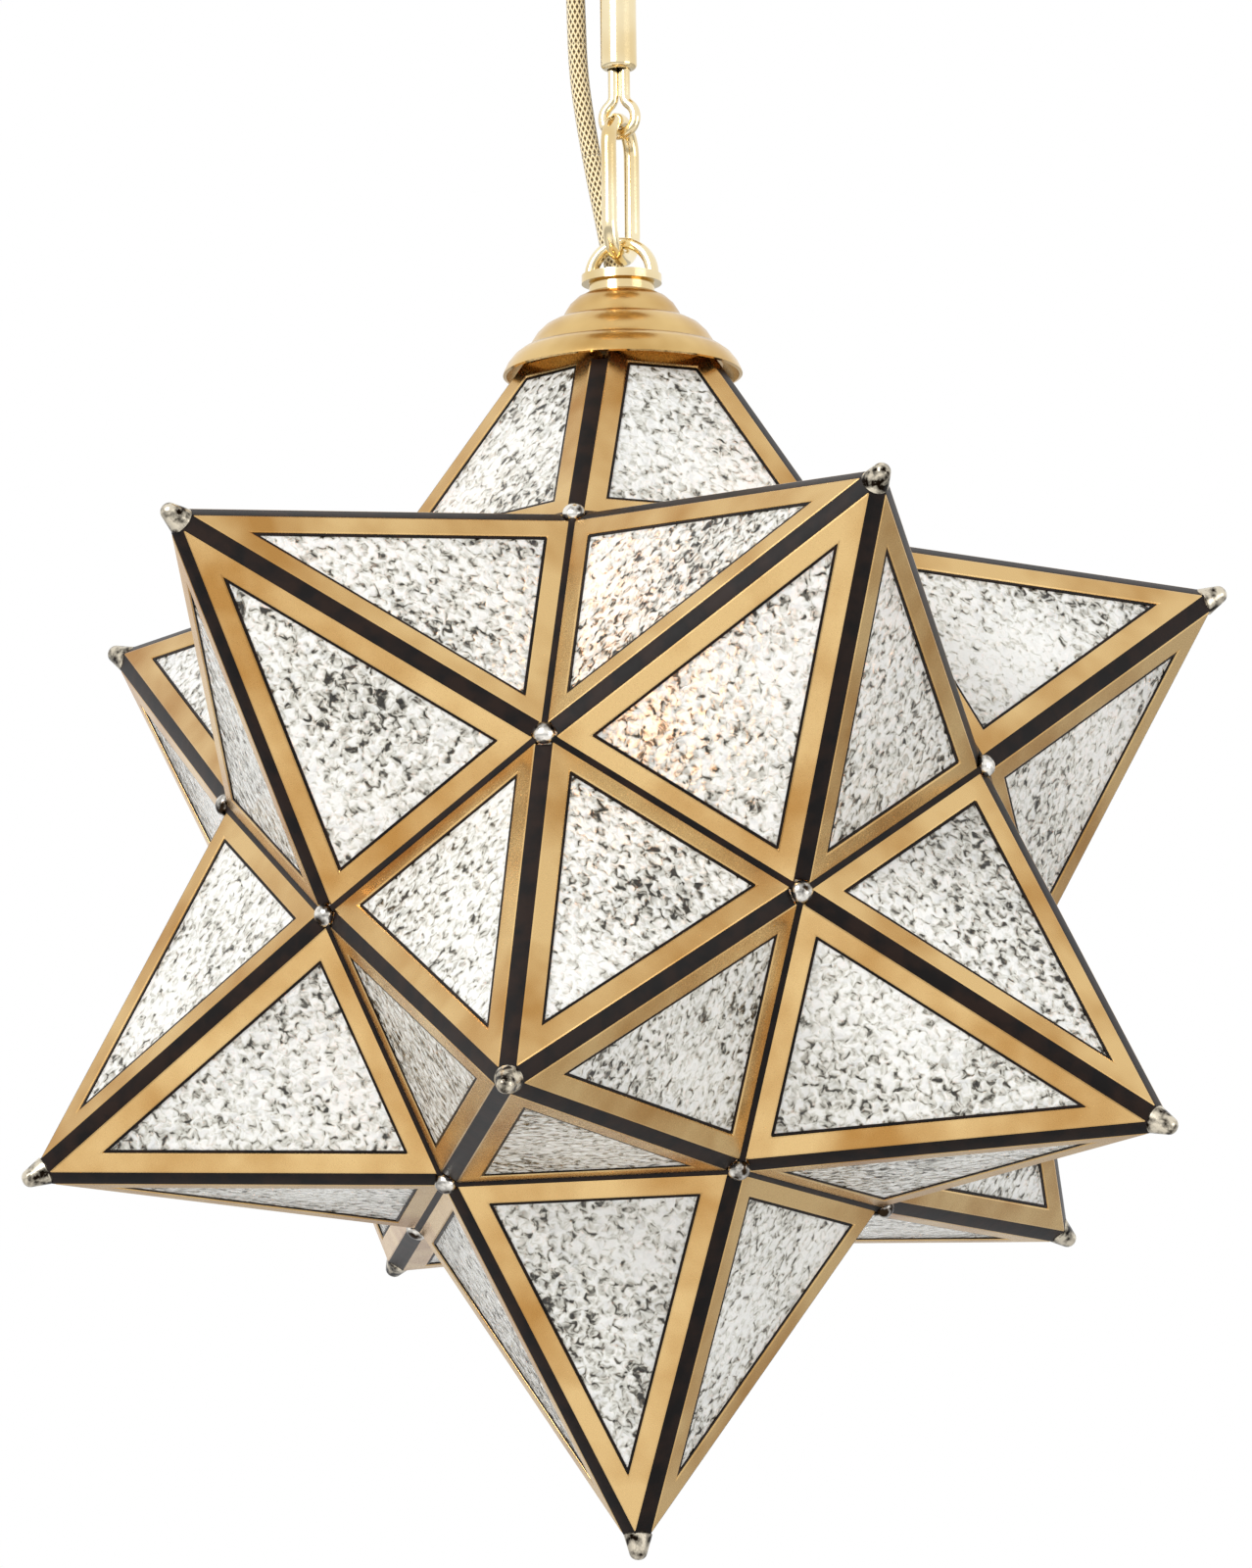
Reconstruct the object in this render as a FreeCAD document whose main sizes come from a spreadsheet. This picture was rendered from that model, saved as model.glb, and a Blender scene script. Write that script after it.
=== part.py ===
"""Twelve-point glazed star pendant on a short decorative chain.

Millimetres, +Z up. The origin is on the ceiling plane, at the middle of the crossbar's
slots, and everything hangs below it. The chain lies along X and Y, and the star is turned
a little under it.
"""

import FreeCAD, Part
import math
import os
import Sketcher
from FreeCAD import Placement, Rotation, Vector

SIZES = [
    # star
    ("star_radius", 175.0, "star centre to the soldered tip of a spike"),
    ("tip_to_valley", 1.65, "tip radius over valley radius"),
    ("front_turn", 10.0, "front lower spike, degrees from -Y towards +X"),
    ("tip_cut", 39.0, "length cut from the top spike's tip"),
    # brass came and glass
    ("came_face", 6.6, "width of the came's face"),
    ("came_thick", 4.2, "came thickness over both walls"),
    ("came_wall", 0.55, "wall of the channel"),
    ("came_web", 0.6, "web at the channel's back"),
    ("came_round", 0.9, "rounding of the came's outer edge"),
    ("glass_thick", 3.0, "pane thickness"),
    ("glass_seat", 0.2, "gap from the pane's edge to the web"),
    ("seam_gap", 0.08, "gap between neighbouring cames at a ridge"),
    ("crease_gap", 0.9, "gap between cames at a valley crease"),
    # solder
    ("solder_sink", 1.0, "depth of the ridge solder below the came edges"),
    ("solder_fit", 0.06, "clearance of solder to the came it lies on"),
    ("valley_bead", 2.9, "radius of the bead at a valley corner"),
    ("tip_bead", 3.9, "radius of the knob at a tip"),
    ("seam_inset", 6.0, "ridge solder stops this far from a valley corner"),
    ("seam_tip_inset", 7.8, "ridge solder stops this far from a tip"),
    # cap and top plate
    ("plate_thick", 1.2, "top plate thickness"),
    ("plate_radius", 25.95, "top plate radius"),
    ("plate_opening", 15.5, "radius of the opening that the lamp passes"),
    ("cap_rim", 31.0, "radius of the cap's flared rim"),
    ("cap_drop", 3.6, "rim below the top plate's upper face"),
    ("cap_rise", 18.0, "cap top above the top plate's upper face"),
    ("cap_wall", 1.0, "cap wall"),
    ("cap_flare", 24.8, "radius where the flare starts"),
    ("cap_tier", 17.6, "radius of the lower tier's top"),
    ("cap_dome", 15.6, "radius of the upper tier"),
    ("cap_top", 9.2, "radius of the cap's flat top"),
    # hanging loops
    ("loop_radius", 10.0, "outer radius of the loop"),
    ("loop_hole", 7.0, "inner radius of the loop"),
    ("loop_thick", 4.0, "thickness of the loop's arch"),
    ("loop_floor", 2.2, "disc under the arch"),
    ("loop_round", 1.4, "rounding of the hole's edges"),
    ("neck_radius", 8.5, "radius of the neck"),
    ("neck_height", 2.6, "height of the neck"),
    ("shank_radius", 5.0, "radius of the threaded shank"),
    ("shank_bore", 3.2, "bore of the shank"),
    ("shank_length", 36.0, "shank below the star loop's neck"),
    ("thread_gap", 0.05, "radial clearance on the shank's thread"),
    ("wireway_radius", 2.9, "radius of the slanted wireway"),
    # chain
    ("ring_length", 40.5, "ring link, outside length"),
    ("ring_width", 20.0, "ring link, outside width"),
    ("ring_wire", 4.0, "ring link, wire diameter"),
    ("loop_play", 0.4, "gap between a ring and the loop's arch"),
    ("link_play", 0.2, "gap between two links"),
    ("link_wire", 2.8, "sleeve link, wire diameter"),
    ("eye_radius", 4.4, "sleeve link, eye centreline radius"),
    ("eye_flare", 3.0, "sleeve link, radius where the wires part"),
    ("strand_offset", 1.55, "half distance of the two wires in the sleeve"),
    ("bare_strand", 7.0, "straight wire between eye and sleeve"),
    ("sleeve_length", 28.0, "length of the sleeve"),
    ("sleeve_radius", 4.7, "outer radius of the sleeve"),
    ("sleeve_fit", 0.06, "clearance of the sleeve on the wires"),
    ("sleeve_round", 1.3, "rounding of the sleeve's ends"),
    # ceiling canopy
    ("canopy_radius", 60.0, "radius of the canopy"),
    ("canopy_height", 24.0, "depth of the canopy"),
    ("canopy_wall", 1.2, "canopy wall"),
    ("canopy_lip", 3.0, "width of the lip on the ceiling"),
    ("canopy_step", 36.0, "radius of the canopy's step"),
    ("canopy_flat", 14.0, "radius of the canopy's flat bottom"),
    ("bar_gap", 3.0, "from the crossbar's ends to the canopy's lip"),
    ("bar_width", 16.0, "crossbar width"),
    ("bar_thick", 2.0, "crossbar thickness"),
    ("slot_margin", 2.55, "from a slot's end to the crossbar's end"),
    ("slot_length", 23.4, "slot, end to end"),
    ("slot_width", 4.4, "slot width"),
    ("nut_flats", 14.0, "hexagon nut across flats"),
    ("nut_height", 4.0, "hexagon nut height"),
    ("strap_length", 36.4, "clamping strap length"),
    ("strap_width", 15.0, "clamping strap width"),
    ("strap_thick", 1.6, "clamping strap thickness"),
    # lampholder and lamp
    ("holder_radius", 13.5, "lampholder radius"),
    ("holder_cap", 14.0, "height of the lampholder's cap"),
    ("holder_shell", 30.0, "height of the lampholder's shell"),
    ("holder_wall", 1.8, "lampholder wall"),
    ("holder_floor", 4.0, "floor that carries the contact"),
    ("screw_radius", 7.05, "inner radius of the screw shell"),
    ("screw_wall", 0.5, "screw shell wall"),
    ("base_fit", 0.08, "radial clearance of the lamp's base"),
    ("lamp_radius", 14.0, "lamp glass radius"),
    ("lamp_length", 62.0, "lamp glass length"),
    ("lamp_wall", 0.9, "lamp glass wall"),
    # cord
    ("cord_diameter", 5.0, "textile cord diameter"),
]

PLAY = 0.02  # nothing thinner than this is left between faces that only touch


class Size:
    """A length: its value, and the expression that ties it to the sheet."""

    def __init__(self, value, text):
        self.value = float(value)
        self.text = text

    def _joined(self, other, sign, value):
        return Size(value, f"({self.text} {sign} {size_of(other).text})")

    def __add__(self, other):
        return self._joined(other, "+", self.value + size_of(other).value)

    def __sub__(self, other):
        return self._joined(other, "-", self.value - size_of(other).value)

    def __mul__(self, factor):
        return self._joined(factor, "*", self.value * size_of(factor).value)

    def __truediv__(self, factor):
        return self._joined(factor, "/", self.value / size_of(factor).value)

    def __neg__(self):
        return Size(-self.value, f"(0 - {self.text})")


def size_of(number):
    return number if isinstance(number, Size) else Size(number, repr(float(number)))


doc = FreeCAD.newDocument("star_pendant")
sheet = doc.addObject("Spreadsheet::Sheet", "sizes")
for row, (name, value, note) in enumerate(SIZES, start=1):
    sheet.set(f"A{row}", name)
    sheet.set(f"B{row}", str(value))
    sheet.set(f"C{row}", note)
    sheet.setAlias(f"B{row}", name)
doc.recompute()


def at(name):
    """The sheet's cell of that name, as a bound length."""
    return Size(sheet.get(name), f"sizes.{name}")


def mm(name):
    """The sheet's cell of that name, as a plain number."""
    return float(sheet.get(name))


# ---------------------------------------------------------------- bodies and sketches


def plane_of(body, role):
    return next(f for f in body.Origin.OriginFeatures if f.Role == role)


parts = []


def keep(thing, label, z=None, turn=None):
    """Names a finished sub-part, and puts it at height z, turned as given."""
    thing.Label = label
    if turn is not None:
        thing.Placement = Placement(Vector(), turn)
    if z is not None:
        thing.setExpression("Placement.Base.z", size_of(z).text)
    parts.append(thing)
    return thing


def new_body(label, z=None, turn=None):
    return keep(doc.addObject("PartDesign::Body", label), label, z, turn)


def new_sketch(body, role, name):
    sketch = body.newObject("Sketcher::SketchObject", name)
    sketch.AttachmentSupport = (plane_of(body, role), [""])
    sketch.MapMode = "FlatFace"
    return sketch


def pin_point(sketch, edge, end, x, y, only="xy"):
    """Holds one point of an edge at x, y from the sketch's origin."""
    for kind, axis, letter, length in (("DistanceX", -2, "x", x), ("DistanceY", -1, "y", y)):
        length = size_of(length)
        if letter not in only:
            continue
        if abs(length.value) < 1e-9:
            sketch.addConstraint(Sketcher.Constraint("PointOnObject", edge, end, axis))
            continue
        index = sketch.addConstraint(
            Sketcher.Constraint(kind, -1, 1, edge, end, length.value)
        )
        sketch.setExpression(f"Constraints[{index}]", length.text)


def outline(sketch, corners):
    """A closed outline through corners (x, y) or (x, y, radius, kind). A radius makes the edge
    that arrives there an arc, anticlockwise for a positive radius. Its kind is "half" for half
    a circle and "long" for more than half."""
    count = len(corners)
    ends = [Vector(size_of(c[0]).value, size_of(c[1]).value, 0) for c in corners]
    edges = []
    for i, corner in enumerate(corners):
        a, b = ends[i - 1], ends[i]
        if len(corner) == 2:
            edges.append(sketch.addGeometry(Part.LineSegment(a, b), False))
            continue
        radius = size_of(corner[2]).value
        kind = corner[3] if len(corner) == 4 else "short"
        half = (b - a) / 2
        left = Vector(-half.y, half.x, 0).normalize()
        reach = math.sqrt(max(radius**2 - half.Length**2, 0)) * math.copysign(1, radius)
        reach = {"short": reach, "long": -reach, "half": 0}[kind]
        middle = a + half + left * (reach - radius)
        edges.append(sketch.addGeometry(Part.Arc(a, middle, b), False))
    flipped = [len(c) > 2 and size_of(c[2]).value < 0 for c in corners]
    for i, corner in enumerate(corners):
        after = (i + 1) % count
        stop = 1 if flipped[i] else 2
        start = 2 if flipped[after] else 1
        sketch.addConstraint(
            Sketcher.Constraint("Coincident", edges[i], stop, edges[after], start)
        )
        pin_point(sketch, edges[i], stop, corner[0], corner[1])
    for i, corner in enumerate(corners):
        if len(corner) < 3:
            continue
        if corner[-1] == "half":
            upright = abs(ends[i].x - ends[i - 1].x) < 1e-6
            pin_point(sketch, edges[i], 3, corner[0], corner[1], "x" if upright else "y")
            continue
        radius = size_of(corner[2])
        radius = -radius if flipped[i] else radius
        index = sketch.addConstraint(Sketcher.Constraint("Radius", edges[i], radius.value))
        sketch.setExpression(f"Constraints[{index}]", radius.text)


def ring_sketch(sketch, radius, x=0, y=0):
    """One circle."""
    radius = size_of(radius)
    centre = Vector(size_of(x).value, size_of(y).value, 0)
    edge = sketch.addGeometry(Part.Circle(centre, Vector(0, 0, 1), radius.value), False)
    pin_point(sketch, edge, 3, x, y)
    index = sketch.addConstraint(Sketcher.Constraint("Radius", edge, radius.value))
    sketch.setExpression(f"Constraints[{index}]", radius.text)


def spun(label, corners, z=None, turn=None):
    """A turned piece: the outline (radius, height) revolved about Z."""
    body = new_body(label, z, turn)
    sketch = new_sketch(body, "XZ_Plane", f"{label}_profile")
    outline(sketch, corners)
    solid = body.newObject("PartDesign::Revolution", f"{label}_turned")
    solid.Profile = sketch
    solid.ReferenceAxis = (sketch, ["V_Axis"])
    solid.Angle = 360
    sketch.Visibility = False
    return body


def pad(body, role, corners, length, name, both=False, feature="PartDesign::Pad"):
    """Pads or pockets an outline drawn on one of the body's planes."""
    sketch = new_sketch(body, role, f"{name}_outline")
    outline(sketch, corners)
    solid = body.newObject(feature, name)
    solid.Profile = sketch
    if both:
        solid.SideType = "Symmetric"
    solid.setExpression("Length", size_of(length).text)
    return solid


def bore(body, radius, depth, name, x=0, y=0, upwards=True):
    """A round pocket from the XY plane."""
    sketch = new_sketch(body, "XY_Plane", f"{name}_circle")
    ring_sketch(sketch, radius, x, y)
    hole = body.newObject("PartDesign::Pocket", name)
    hole.Profile = sketch
    hole.Reversed = upwards
    hole.setExpression("Length", size_of(depth).text)
    return hole


def piped(label, spine_role, spine, profile_role, radius, x, y, z=None):
    """Round wire bent along a closed outline."""
    body = new_body(label, z)
    path = new_sketch(body, spine_role, f"{label}_path")
    outline(path, spine)
    section = new_sketch(body, profile_role, f"{label}_section")
    ring_sketch(section, radius, x, y)
    wire = body.newObject("PartDesign::AdditivePipe", f"{label}_wire")
    wire.Profile = section
    wire.Spine = (path, [])
    return body


# ---------------------------------------------------------------- heights, top to bottom

ring_pitch = at("ring_length") - at("ring_wire")
loop_seat = at("loop_floor") + at("loop_hole") - at("loop_play") - at("ring_wire") / 2
wire_step = at("ring_wire") / 2 + at("link_wire") / 2 + at("link_play")
# straight part of the sleeve link above its eye's centre, from the two tangent circles
eye_reach = math.sqrt(
    (mm("eye_radius") + mm("eye_flare")) ** 2
    - (mm("strand_offset") + mm("eye_flare")) ** 2
)
eye_reach = Size(
    eye_reach,
    "sqrt((sizes.eye_radius + sizes.eye_flare) ^ 2"
    " - (sizes.strand_offset + sizes.eye_flare) ^ 2)",
)
eye_height = at("sleeve_length") / 2 + at("bare_strand") + eye_reach

canopy_loop_z = -(at("canopy_height") + at("neck_height"))
upper_ring_top = canopy_loop_z - loop_seat
upper_ring_z = upper_ring_top - ring_pitch / 2
link_top = upper_ring_top - ring_pitch + wire_step
link_z = link_top - at("eye_radius") - eye_height
lower_ring_top = link_z - eye_height - at("eye_radius") + wire_step
lower_ring_z = lower_ring_top - ring_pitch / 2
star_loop_z = lower_ring_top - ring_pitch - loop_seat
cap_top_z = star_loop_z - at("neck_height")
plate_z = cap_top_z - at("cap_rise")
star_z = plate_z - at("plate_thick") - at("star_radius") + at("tip_cut")
strap_z = plate_z - at("plate_thick") - at("strap_thick") - PLAY
strap_nut_z = strap_z - at("nut_height") - PLAY
holder_top = strap_nut_z - PLAY
holder_split = holder_top - at("holder_cap")
contact_z = holder_split - at("holder_floor")


# ---------------------------------------------------------------- ceiling canopy


def canopy():
    """A stepped dish with a lip that lies on the ceiling and a hole for the loop's shank."""
    wall, depth = at("canopy_wall"), at("canopy_height")
    rim, step, flat = at("canopy_radius"), at("canopy_step"), at("canopy_flat")
    hole = at("shank_radius") + at("thread_gap") * 4
    half, edge = -depth / 2, -wall * 1.6
    lip = rim - at("canopy_lip")
    wide, narrow = (rim - step) * 1.15, (step - flat) * 1.15
    return spun(
        "canopy",
        [
            (lip, 0),
            (rim, 0),
            (rim, edge),
            (step, half, -wide),
            (step, half - wall),
            (flat, -depth, -narrow),
            (hole, -depth),
            (hole, -depth + wall),
            (flat - wall / 2, -depth + wall),
            (step - wall, half - wall, narrow),
            (step - wall, half + wall),
            (lip, edge, wide),
        ],
    )


def capsule(length, width, x=0):
    """Corners of a strip with round ends, its middle at x."""
    run, half = (length - width) / 2, width / 2
    middle = size_of(x)
    return [
        (middle - run, half),
        (middle - run, -half, half, "half"),
        (middle + run, -half),
        (middle + run, half, half, "half"),
    ]


def strip(label, length, width, thick, hole, z):
    """A flat bar with round ends and a hole in its middle; z is its lower face."""
    body = new_body(label, z)
    pad(body, "XY_Plane", capsule(length, width), thick, f"{label}_bar")
    bore(body, hole, thick, f"{label}_hole")
    return body


def crossbar():
    """The bar on the ceiling box: a threaded middle and two slots for the box's screws."""
    thread = at("shank_radius") + at("thread_gap")
    thick = at("bar_thick")
    length = (at("canopy_radius") - at("canopy_lip") - at("bar_gap")) * 2
    spacing = length - at("slot_margin") * 2 - at("slot_length")
    body = strip("crossbar", length, at("bar_width"), thick, thread, -thick)
    for side, name in ((-1, "left_slot"), (1, "right_slot")):
        corners = capsule(at("slot_length"), at("slot_width"), spacing / 2 * side)
        slot = pad(body, "XY_Plane", corners, thick, name, feature="PartDesign::Pocket")
        slot.Reversed = True
    return body


def nut(label, z):
    """A hexagon nut; z is its lower face."""
    body = new_body(label, z)
    apex = at("nut_flats") / 2 / math.cos(math.pi / 6)
    corners = []
    for k in range(6):
        turn = math.pi / 6 + k * math.pi / 3
        x, y = math.cos(turn), math.sin(turn)
        corners.append((apex * x if abs(x) > 1e-9 else 0, apex * y if abs(y) > 1e-9 else 0))
    pad(body, "XY_Plane", corners, at("nut_height"), f"{label}_hexagon")
    bore(body, at("shank_radius") + at("thread_gap"), at("nut_height"), f"{label}_thread")
    return body


# ---------------------------------------------------------------- loops and links

WIREWAY = Vector(-2.4, 3.2, 4.5)  # its lean, from the shank's bore up through the floor
WIREWAY_SINK = 2.3  # the wireway leaves the bore this far below the loop's disc


def loop(label, shank, z, turn=None):
    """A cast loop: hollow shank, neck, disc and a round-edged arch, with a slanted wireway
    behind the arch for the cord. Its own origin is under the disc."""
    body = doc.addObject("PartDesign::Body", f"{label}_casting")
    sketch = new_sketch(body, "XZ_Plane", f"{label}_profile")
    neck, inset = -at("neck_height"), at("neck_height") / 6
    outer, inner, floor = at("loop_radius"), at("loop_hole"), at("loop_floor")
    outline(
        sketch,
        [
            (0, floor),
            (0, neck - shank),
            (at("shank_radius"), neck - shank),
            (at("shank_radius"), neck),
            (at("neck_radius"), neck),
            (at("neck_radius"), -inset),
            (at("neck_radius") - inset, 0),
            (outer * 1.04, 0),
            (outer * 1.04, floor),
        ],
    )
    core = body.newObject("PartDesign::Revolution", f"{label}_core")
    core.Profile = sketch
    core.ReferenceAxis = (sketch, ["V_Axis"])
    core.Angle = 360
    feet = floor / 2
    arch = pad(
        body,
        "XZ_Plane",
        [
            (-outer, floor, outer, "half"),
            (-outer, feet),
            (-inner, feet),
            (-inner, floor),
            (inner, floor, -inner, "half"),
            (inner, feet),
            (outer, feet),
            (outer, floor),
        ],
        at("loop_thick"),
        f"{label}_arch",
        both=True,
    )
    doc.recompute()
    rounding = body.newObject("PartDesign::Fillet", f"{label}_rounding")
    rounding.Base = (arch, arch_edges(arch.Shape, floor.value))
    rounding.setExpression("Radius", at("loop_round").text)
    hole = new_sketch(body, "XY_Plane", f"{label}_bore_circle")
    ring_sketch(hole, at("shank_bore"))
    shaft = body.newObject("PartDesign::Pocket", f"{label}_bore")
    shaft.Profile = hole
    shaft.setExpression("Length", (at("neck_height") + shank).text)
    way = doc.addObject("Part::Cylinder", f"{label}_wireway")
    way.setExpression("Radius", at("wireway_radius").text)
    way.Height = WIREWAY.Length * 2
    way.Placement = Placement(
        Vector(0, 0, -WIREWAY_SINK), Rotation(Vector(0, 0, 1), WIREWAY)
    )
    cut = doc.addObject("Part::Cut", label)
    cut.Base, cut.Tool = body, way
    return keep(cut, label, z, turn)


def arch_edges(shape, floor):
    """The arch's four curved edges, inside and outside."""
    found = []
    for i, edge in enumerate(shape.Edges, start=1):
        box = edge.BoundBox
        if box.YLength < 1e-6 and box.XLength > 5 and box.ZLength > 5 and box.ZMin > floor - 0.1:
            found.append(f"Edge{i}")
    return found


def ring_link(label, z):
    """An oval of round wire, standing in the YZ plane."""
    radius = (at("ring_width") - at("ring_wire")) / 2
    run = ring_pitch / 2 - radius
    corners = [
        (radius, 0),
        (radius, run),
        (-radius, run, radius, "half"),
        (-radius, -run),
        (radius, -run, radius, "half"),
    ]
    return piped(label, "YZ_Plane", corners, "XY_Plane", at("ring_wire") / 2, 0, radius, z)


def sleeve_link():
    """A wire link whose two strands run together through a sleeve, with an eye at each end."""
    strand, flare, eye = at("strand_offset"), at("eye_flare"), at("eye_radius")
    end = at("sleeve_length") / 2 + at("bare_strand")
    share = eye / (eye + flare)
    side = (strand + flare) * share
    rise = end + eye_reach - eye_reach * share
    corners = [
        (strand, 0),
        (strand, end),
        (side, rise, -flare),
        (-side, rise, eye, "long"),
        (-strand, end, -flare),
        (-strand, -end),
        (-side, -rise, -flare),
        (side, -rise, eye, "long"),
        (strand, -end, -flare),
    ]
    return piped(
        "link_wire", "XZ_Plane", corners, "XY_Plane", at("link_wire") / 2, strand, 0, link_z
    )


def link_sleeve():
    """The turned sleeve over the link's two strands, open at both ends."""
    half, outer = at("sleeve_length") / 2, at("sleeve_radius")
    inner = at("strand_offset") + at("link_wire") / 2 + at("sleeve_fit")
    edge = at("sleeve_round")
    return spun(
        "link_sleeve",
        [
            (inner, half),
            (inner, -half),
            (outer - edge, -half),
            (outer, -half + edge, edge),
            (outer, half - edge),
            (outer - edge, half, edge),
        ],
        link_z,
    )


# ---------------------------------------------------------------- cap, plate, strap


def cap():
    """A stepped, flared cap. Its own origin is level with the top plate's upper face."""
    wall, rise, rim = at("cap_wall"), at("cap_rise"), at("cap_rim")
    flare, tier, dome = at("cap_flare"), at("cap_tier"), at("cap_dome")
    foot = -at("cap_drop")
    flare_z = foot + rim - flare
    tier_z = flare_z + (flare - tier) * 0.8
    step = tier_z + wall
    shoulder = step + wall * 1.5
    hole = at("shank_radius") + at("thread_gap") * 4
    return spun(
        "cap",
        [
            (hole, rise),
            (hole, rise - wall),
            (at("cap_top") - wall / 2, rise - wall),
            (dome - wall, shoulder, -(dome - wall) * 0.7),
            (dome - wall, step - wall),
            (tier - wall * 0.8, tier_z - wall),
            (flare - wall * 1.1, flare_z - wall / 5, -tier * 0.75),
            (rim - wall * 1.4, foot),
            (rim, foot),
            (rim, foot + wall / 2),
            (flare, flare_z + wall / 2),
            (tier, tier_z, tier * 0.8),
            (dome + wall / 3, step - wall / 2),
            (dome, step),
            (dome, shoulder),
            (at("cap_top"), rise, dome * 0.7),
        ],
        plate_z,
    )


def top_plate():
    """The flat ring on the cut top spike that the strap pulls up against."""
    return spun(
        "top_plate",
        [
            (at("plate_opening"), 0),
            (at("plate_opening"), -at("plate_thick")),
            (at("plate_radius"), -at("plate_thick")),
            (at("plate_radius"), 0),
        ],
        plate_z,
    )


# ---------------------------------------------------------------- lampholder and lamp


def lampholder():
    """Cap, shell, screw shell and centre contact, hung on the loop's shank."""
    radius, wall = at("holder_radius"), at("holder_wall")
    deep, long, floor = at("holder_cap"), at("holder_shell"), at("holder_floor")
    thread = at("shank_radius") + at("thread_gap")
    inner = at("screw_radius") + at("screw_wall")
    spun(
        "lampholder_cap",
        [
            (thread, 0),
            (thread, -wall * 2),
            (radius - wall - wall, -wall * 2),
            (radius - wall, -wall * 3),
            (radius - wall, -deep),
            (radius, -deep),
            (radius, -wall * 2),
            (radius - wall * 2, 0, wall * 2),
        ],
        holder_top,
    )
    spun(
        "lampholder_shell",
        [
            (0, -PLAY),
            (0, -floor),
            (inner + PLAY, -floor),
            (inner + PLAY, -long),
            (radius - wall, -long),
            (radius, -long + wall, wall),
            (radius, -PLAY),
        ],
        holder_split,
    )
    spun(
        "screw_shell",
        [
            (at("screw_radius"), -floor - PLAY),
            (at("screw_radius"), -long + wall),
            (inner, -long + wall),
            (inner, -floor - PLAY),
        ],
        holder_split,
    )
    spun(
        "centre_contact",
        [(0, -PLAY), (0, -wall), (wall, -wall), (wall, -PLAY)],
        contact_z,
    )


def lamp():
    """A small tubular lamp: screw base, glass and the carrier of its filaments."""
    wall, radius, length = at("lamp_wall"), at("lamp_radius"), at("lamp_length")
    screw = at("screw_radius") - at("base_fit")
    tip = at("holder_wall") + PLAY * 2
    neck = at("holder_shell") - at("holder_floor")
    spun(
        "lamp_base",
        [
            (0, -tip),
            (0, -neck),
            (screw - wall - PLAY, -neck),
            (screw, -neck + wall * 3),
            (screw, -tip - wall * 3),
            (screw / 2, -tip - wall),
            (screw / 2, -tip),
        ],
        contact_z,
    )
    glass_z = contact_z - neck - PLAY
    spun(
        "lamp_glass",
        [
            (screw - wall, 0),
            (screw - wall * 2, 0),
            (screw - wall * 2, -wall * 2),
            (radius - wall, -radius),
            (radius - wall, -length + radius),
            (0, -length + wall, -(radius - wall)),
            (0, -length),
            (radius, -length + radius, radius),
            (radius, -radius),
            (screw - wall, -wall * 2),
        ],
        glass_z,
    )
    spun(
        "lamp_filament",
        [
            (0, -PLAY),
            (0, -length + radius * 1.2),
            (wall * 2, -length + radius * 1.2),
            (wall * 2, -radius),
            (wall * 4, -PLAY),
        ],
        glass_z,
    )


# ---------------------------------------------------------------- the star

AXIS_ANGLE = math.atan(2.0)  # between two neighbouring spikes
EDGE_SHARE = 1.401258538444074  # circumradius of a dodecahedron over its edge
tip_radius = mm("star_radius")
valley_radius = tip_radius / mm("tip_to_valley")
base_edge = valley_radius / EDGE_SHARE


def spoke(azimuth, height_angle):
    """A unit vector at azimuth, and at height_angle from +Z, in radians."""
    level = math.sin(height_angle)
    return Vector(
        level * math.cos(azimuth), level * math.sin(azimuth), math.cos(height_angle)
    )


def spike_axes():
    """The twelve spikes' names and axes."""
    lower = [math.radians(mm("front_turn") - 90 + 72 * k) for k in range(5)]
    axes = [("top_spike", Vector(0, 0, 1)), ("bottom_spike", Vector(0, 0, -1))]
    for k, azimuth in enumerate(lower, start=1):
        axes.append((f"lower_spike_{k}", spoke(azimuth, math.pi - AXIS_ANGLE)))
        axes.append((f"upper_spike_{k}", spoke(azimuth + math.pi / 5, AXIS_ANGLE)))
    return axes


def valley_of(*spikes):
    total = Vector()
    for spike in spikes:
        total = total + spike
    return total.normalize()


def neighbours(axis, axes):
    return [v for _, v in axes if 0.1 < axis.getAngle(v) < AXIS_ANGLE + 0.1]


def frame_rotation(along, towards, own_towards):
    """The rotation that takes +Z to along, and own_towards to the side of towards."""

    def basis(z, x):
        side = (x - z * x.dot(z)).normalize()
        up = z.cross(side)
        return Rotation(side, up, z, "ZXY")

    return basis(along, towards).multiply(basis(Vector(0, 0, 1), own_towards).inverted())


AXES = spike_axes()
TOP = AXES[0][1]
first_valley = None
for one in neighbours(TOP, AXES):
    for two in neighbours(TOP, AXES):
        if first_valley is None and one.getAngle(two) < AXIS_ANGLE + 0.1 and one != two:
            first_valley = valley_of(TOP, one, two)

# one spike stands on +Z; its five valley corners, its apex and its panes' planes
start_azimuth = math.atan2(first_valley.y, first_valley.x)
valley_angle = TOP.getAngle(first_valley)
corners = [
    spoke(start_azimuth + 2 * math.pi * k / 5, valley_angle) * valley_radius
    for k in range(5)
]
apex = Vector(0, 0, tip_radius)
base_height = corners[0].z
pane_height = (apex - (corners[0] + corners[1]) / 2).Length
normals = [
    (corners[k - 4] - corners[k]).cross(apex - corners[k]).normalize() for k in range(5)
]
ridge_angle = math.pi - normals[0].getAngle(normals[1])
ridge_offset = mm("came_thick") / math.tan(ridge_angle / 2) + mm("seam_gap") / 2
cut_height = pane_height * (1 - mm("tip_cut") / (tip_radius - base_height))


def lines_meet(point_a, way_a, point_b, way_b):
    cross = way_a.x * way_b.y - way_a.y * way_b.x
    gap = point_b - point_a
    return point_a + way_a * ((gap.x * way_b.y - gap.y * way_b.x) / cross)


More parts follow.
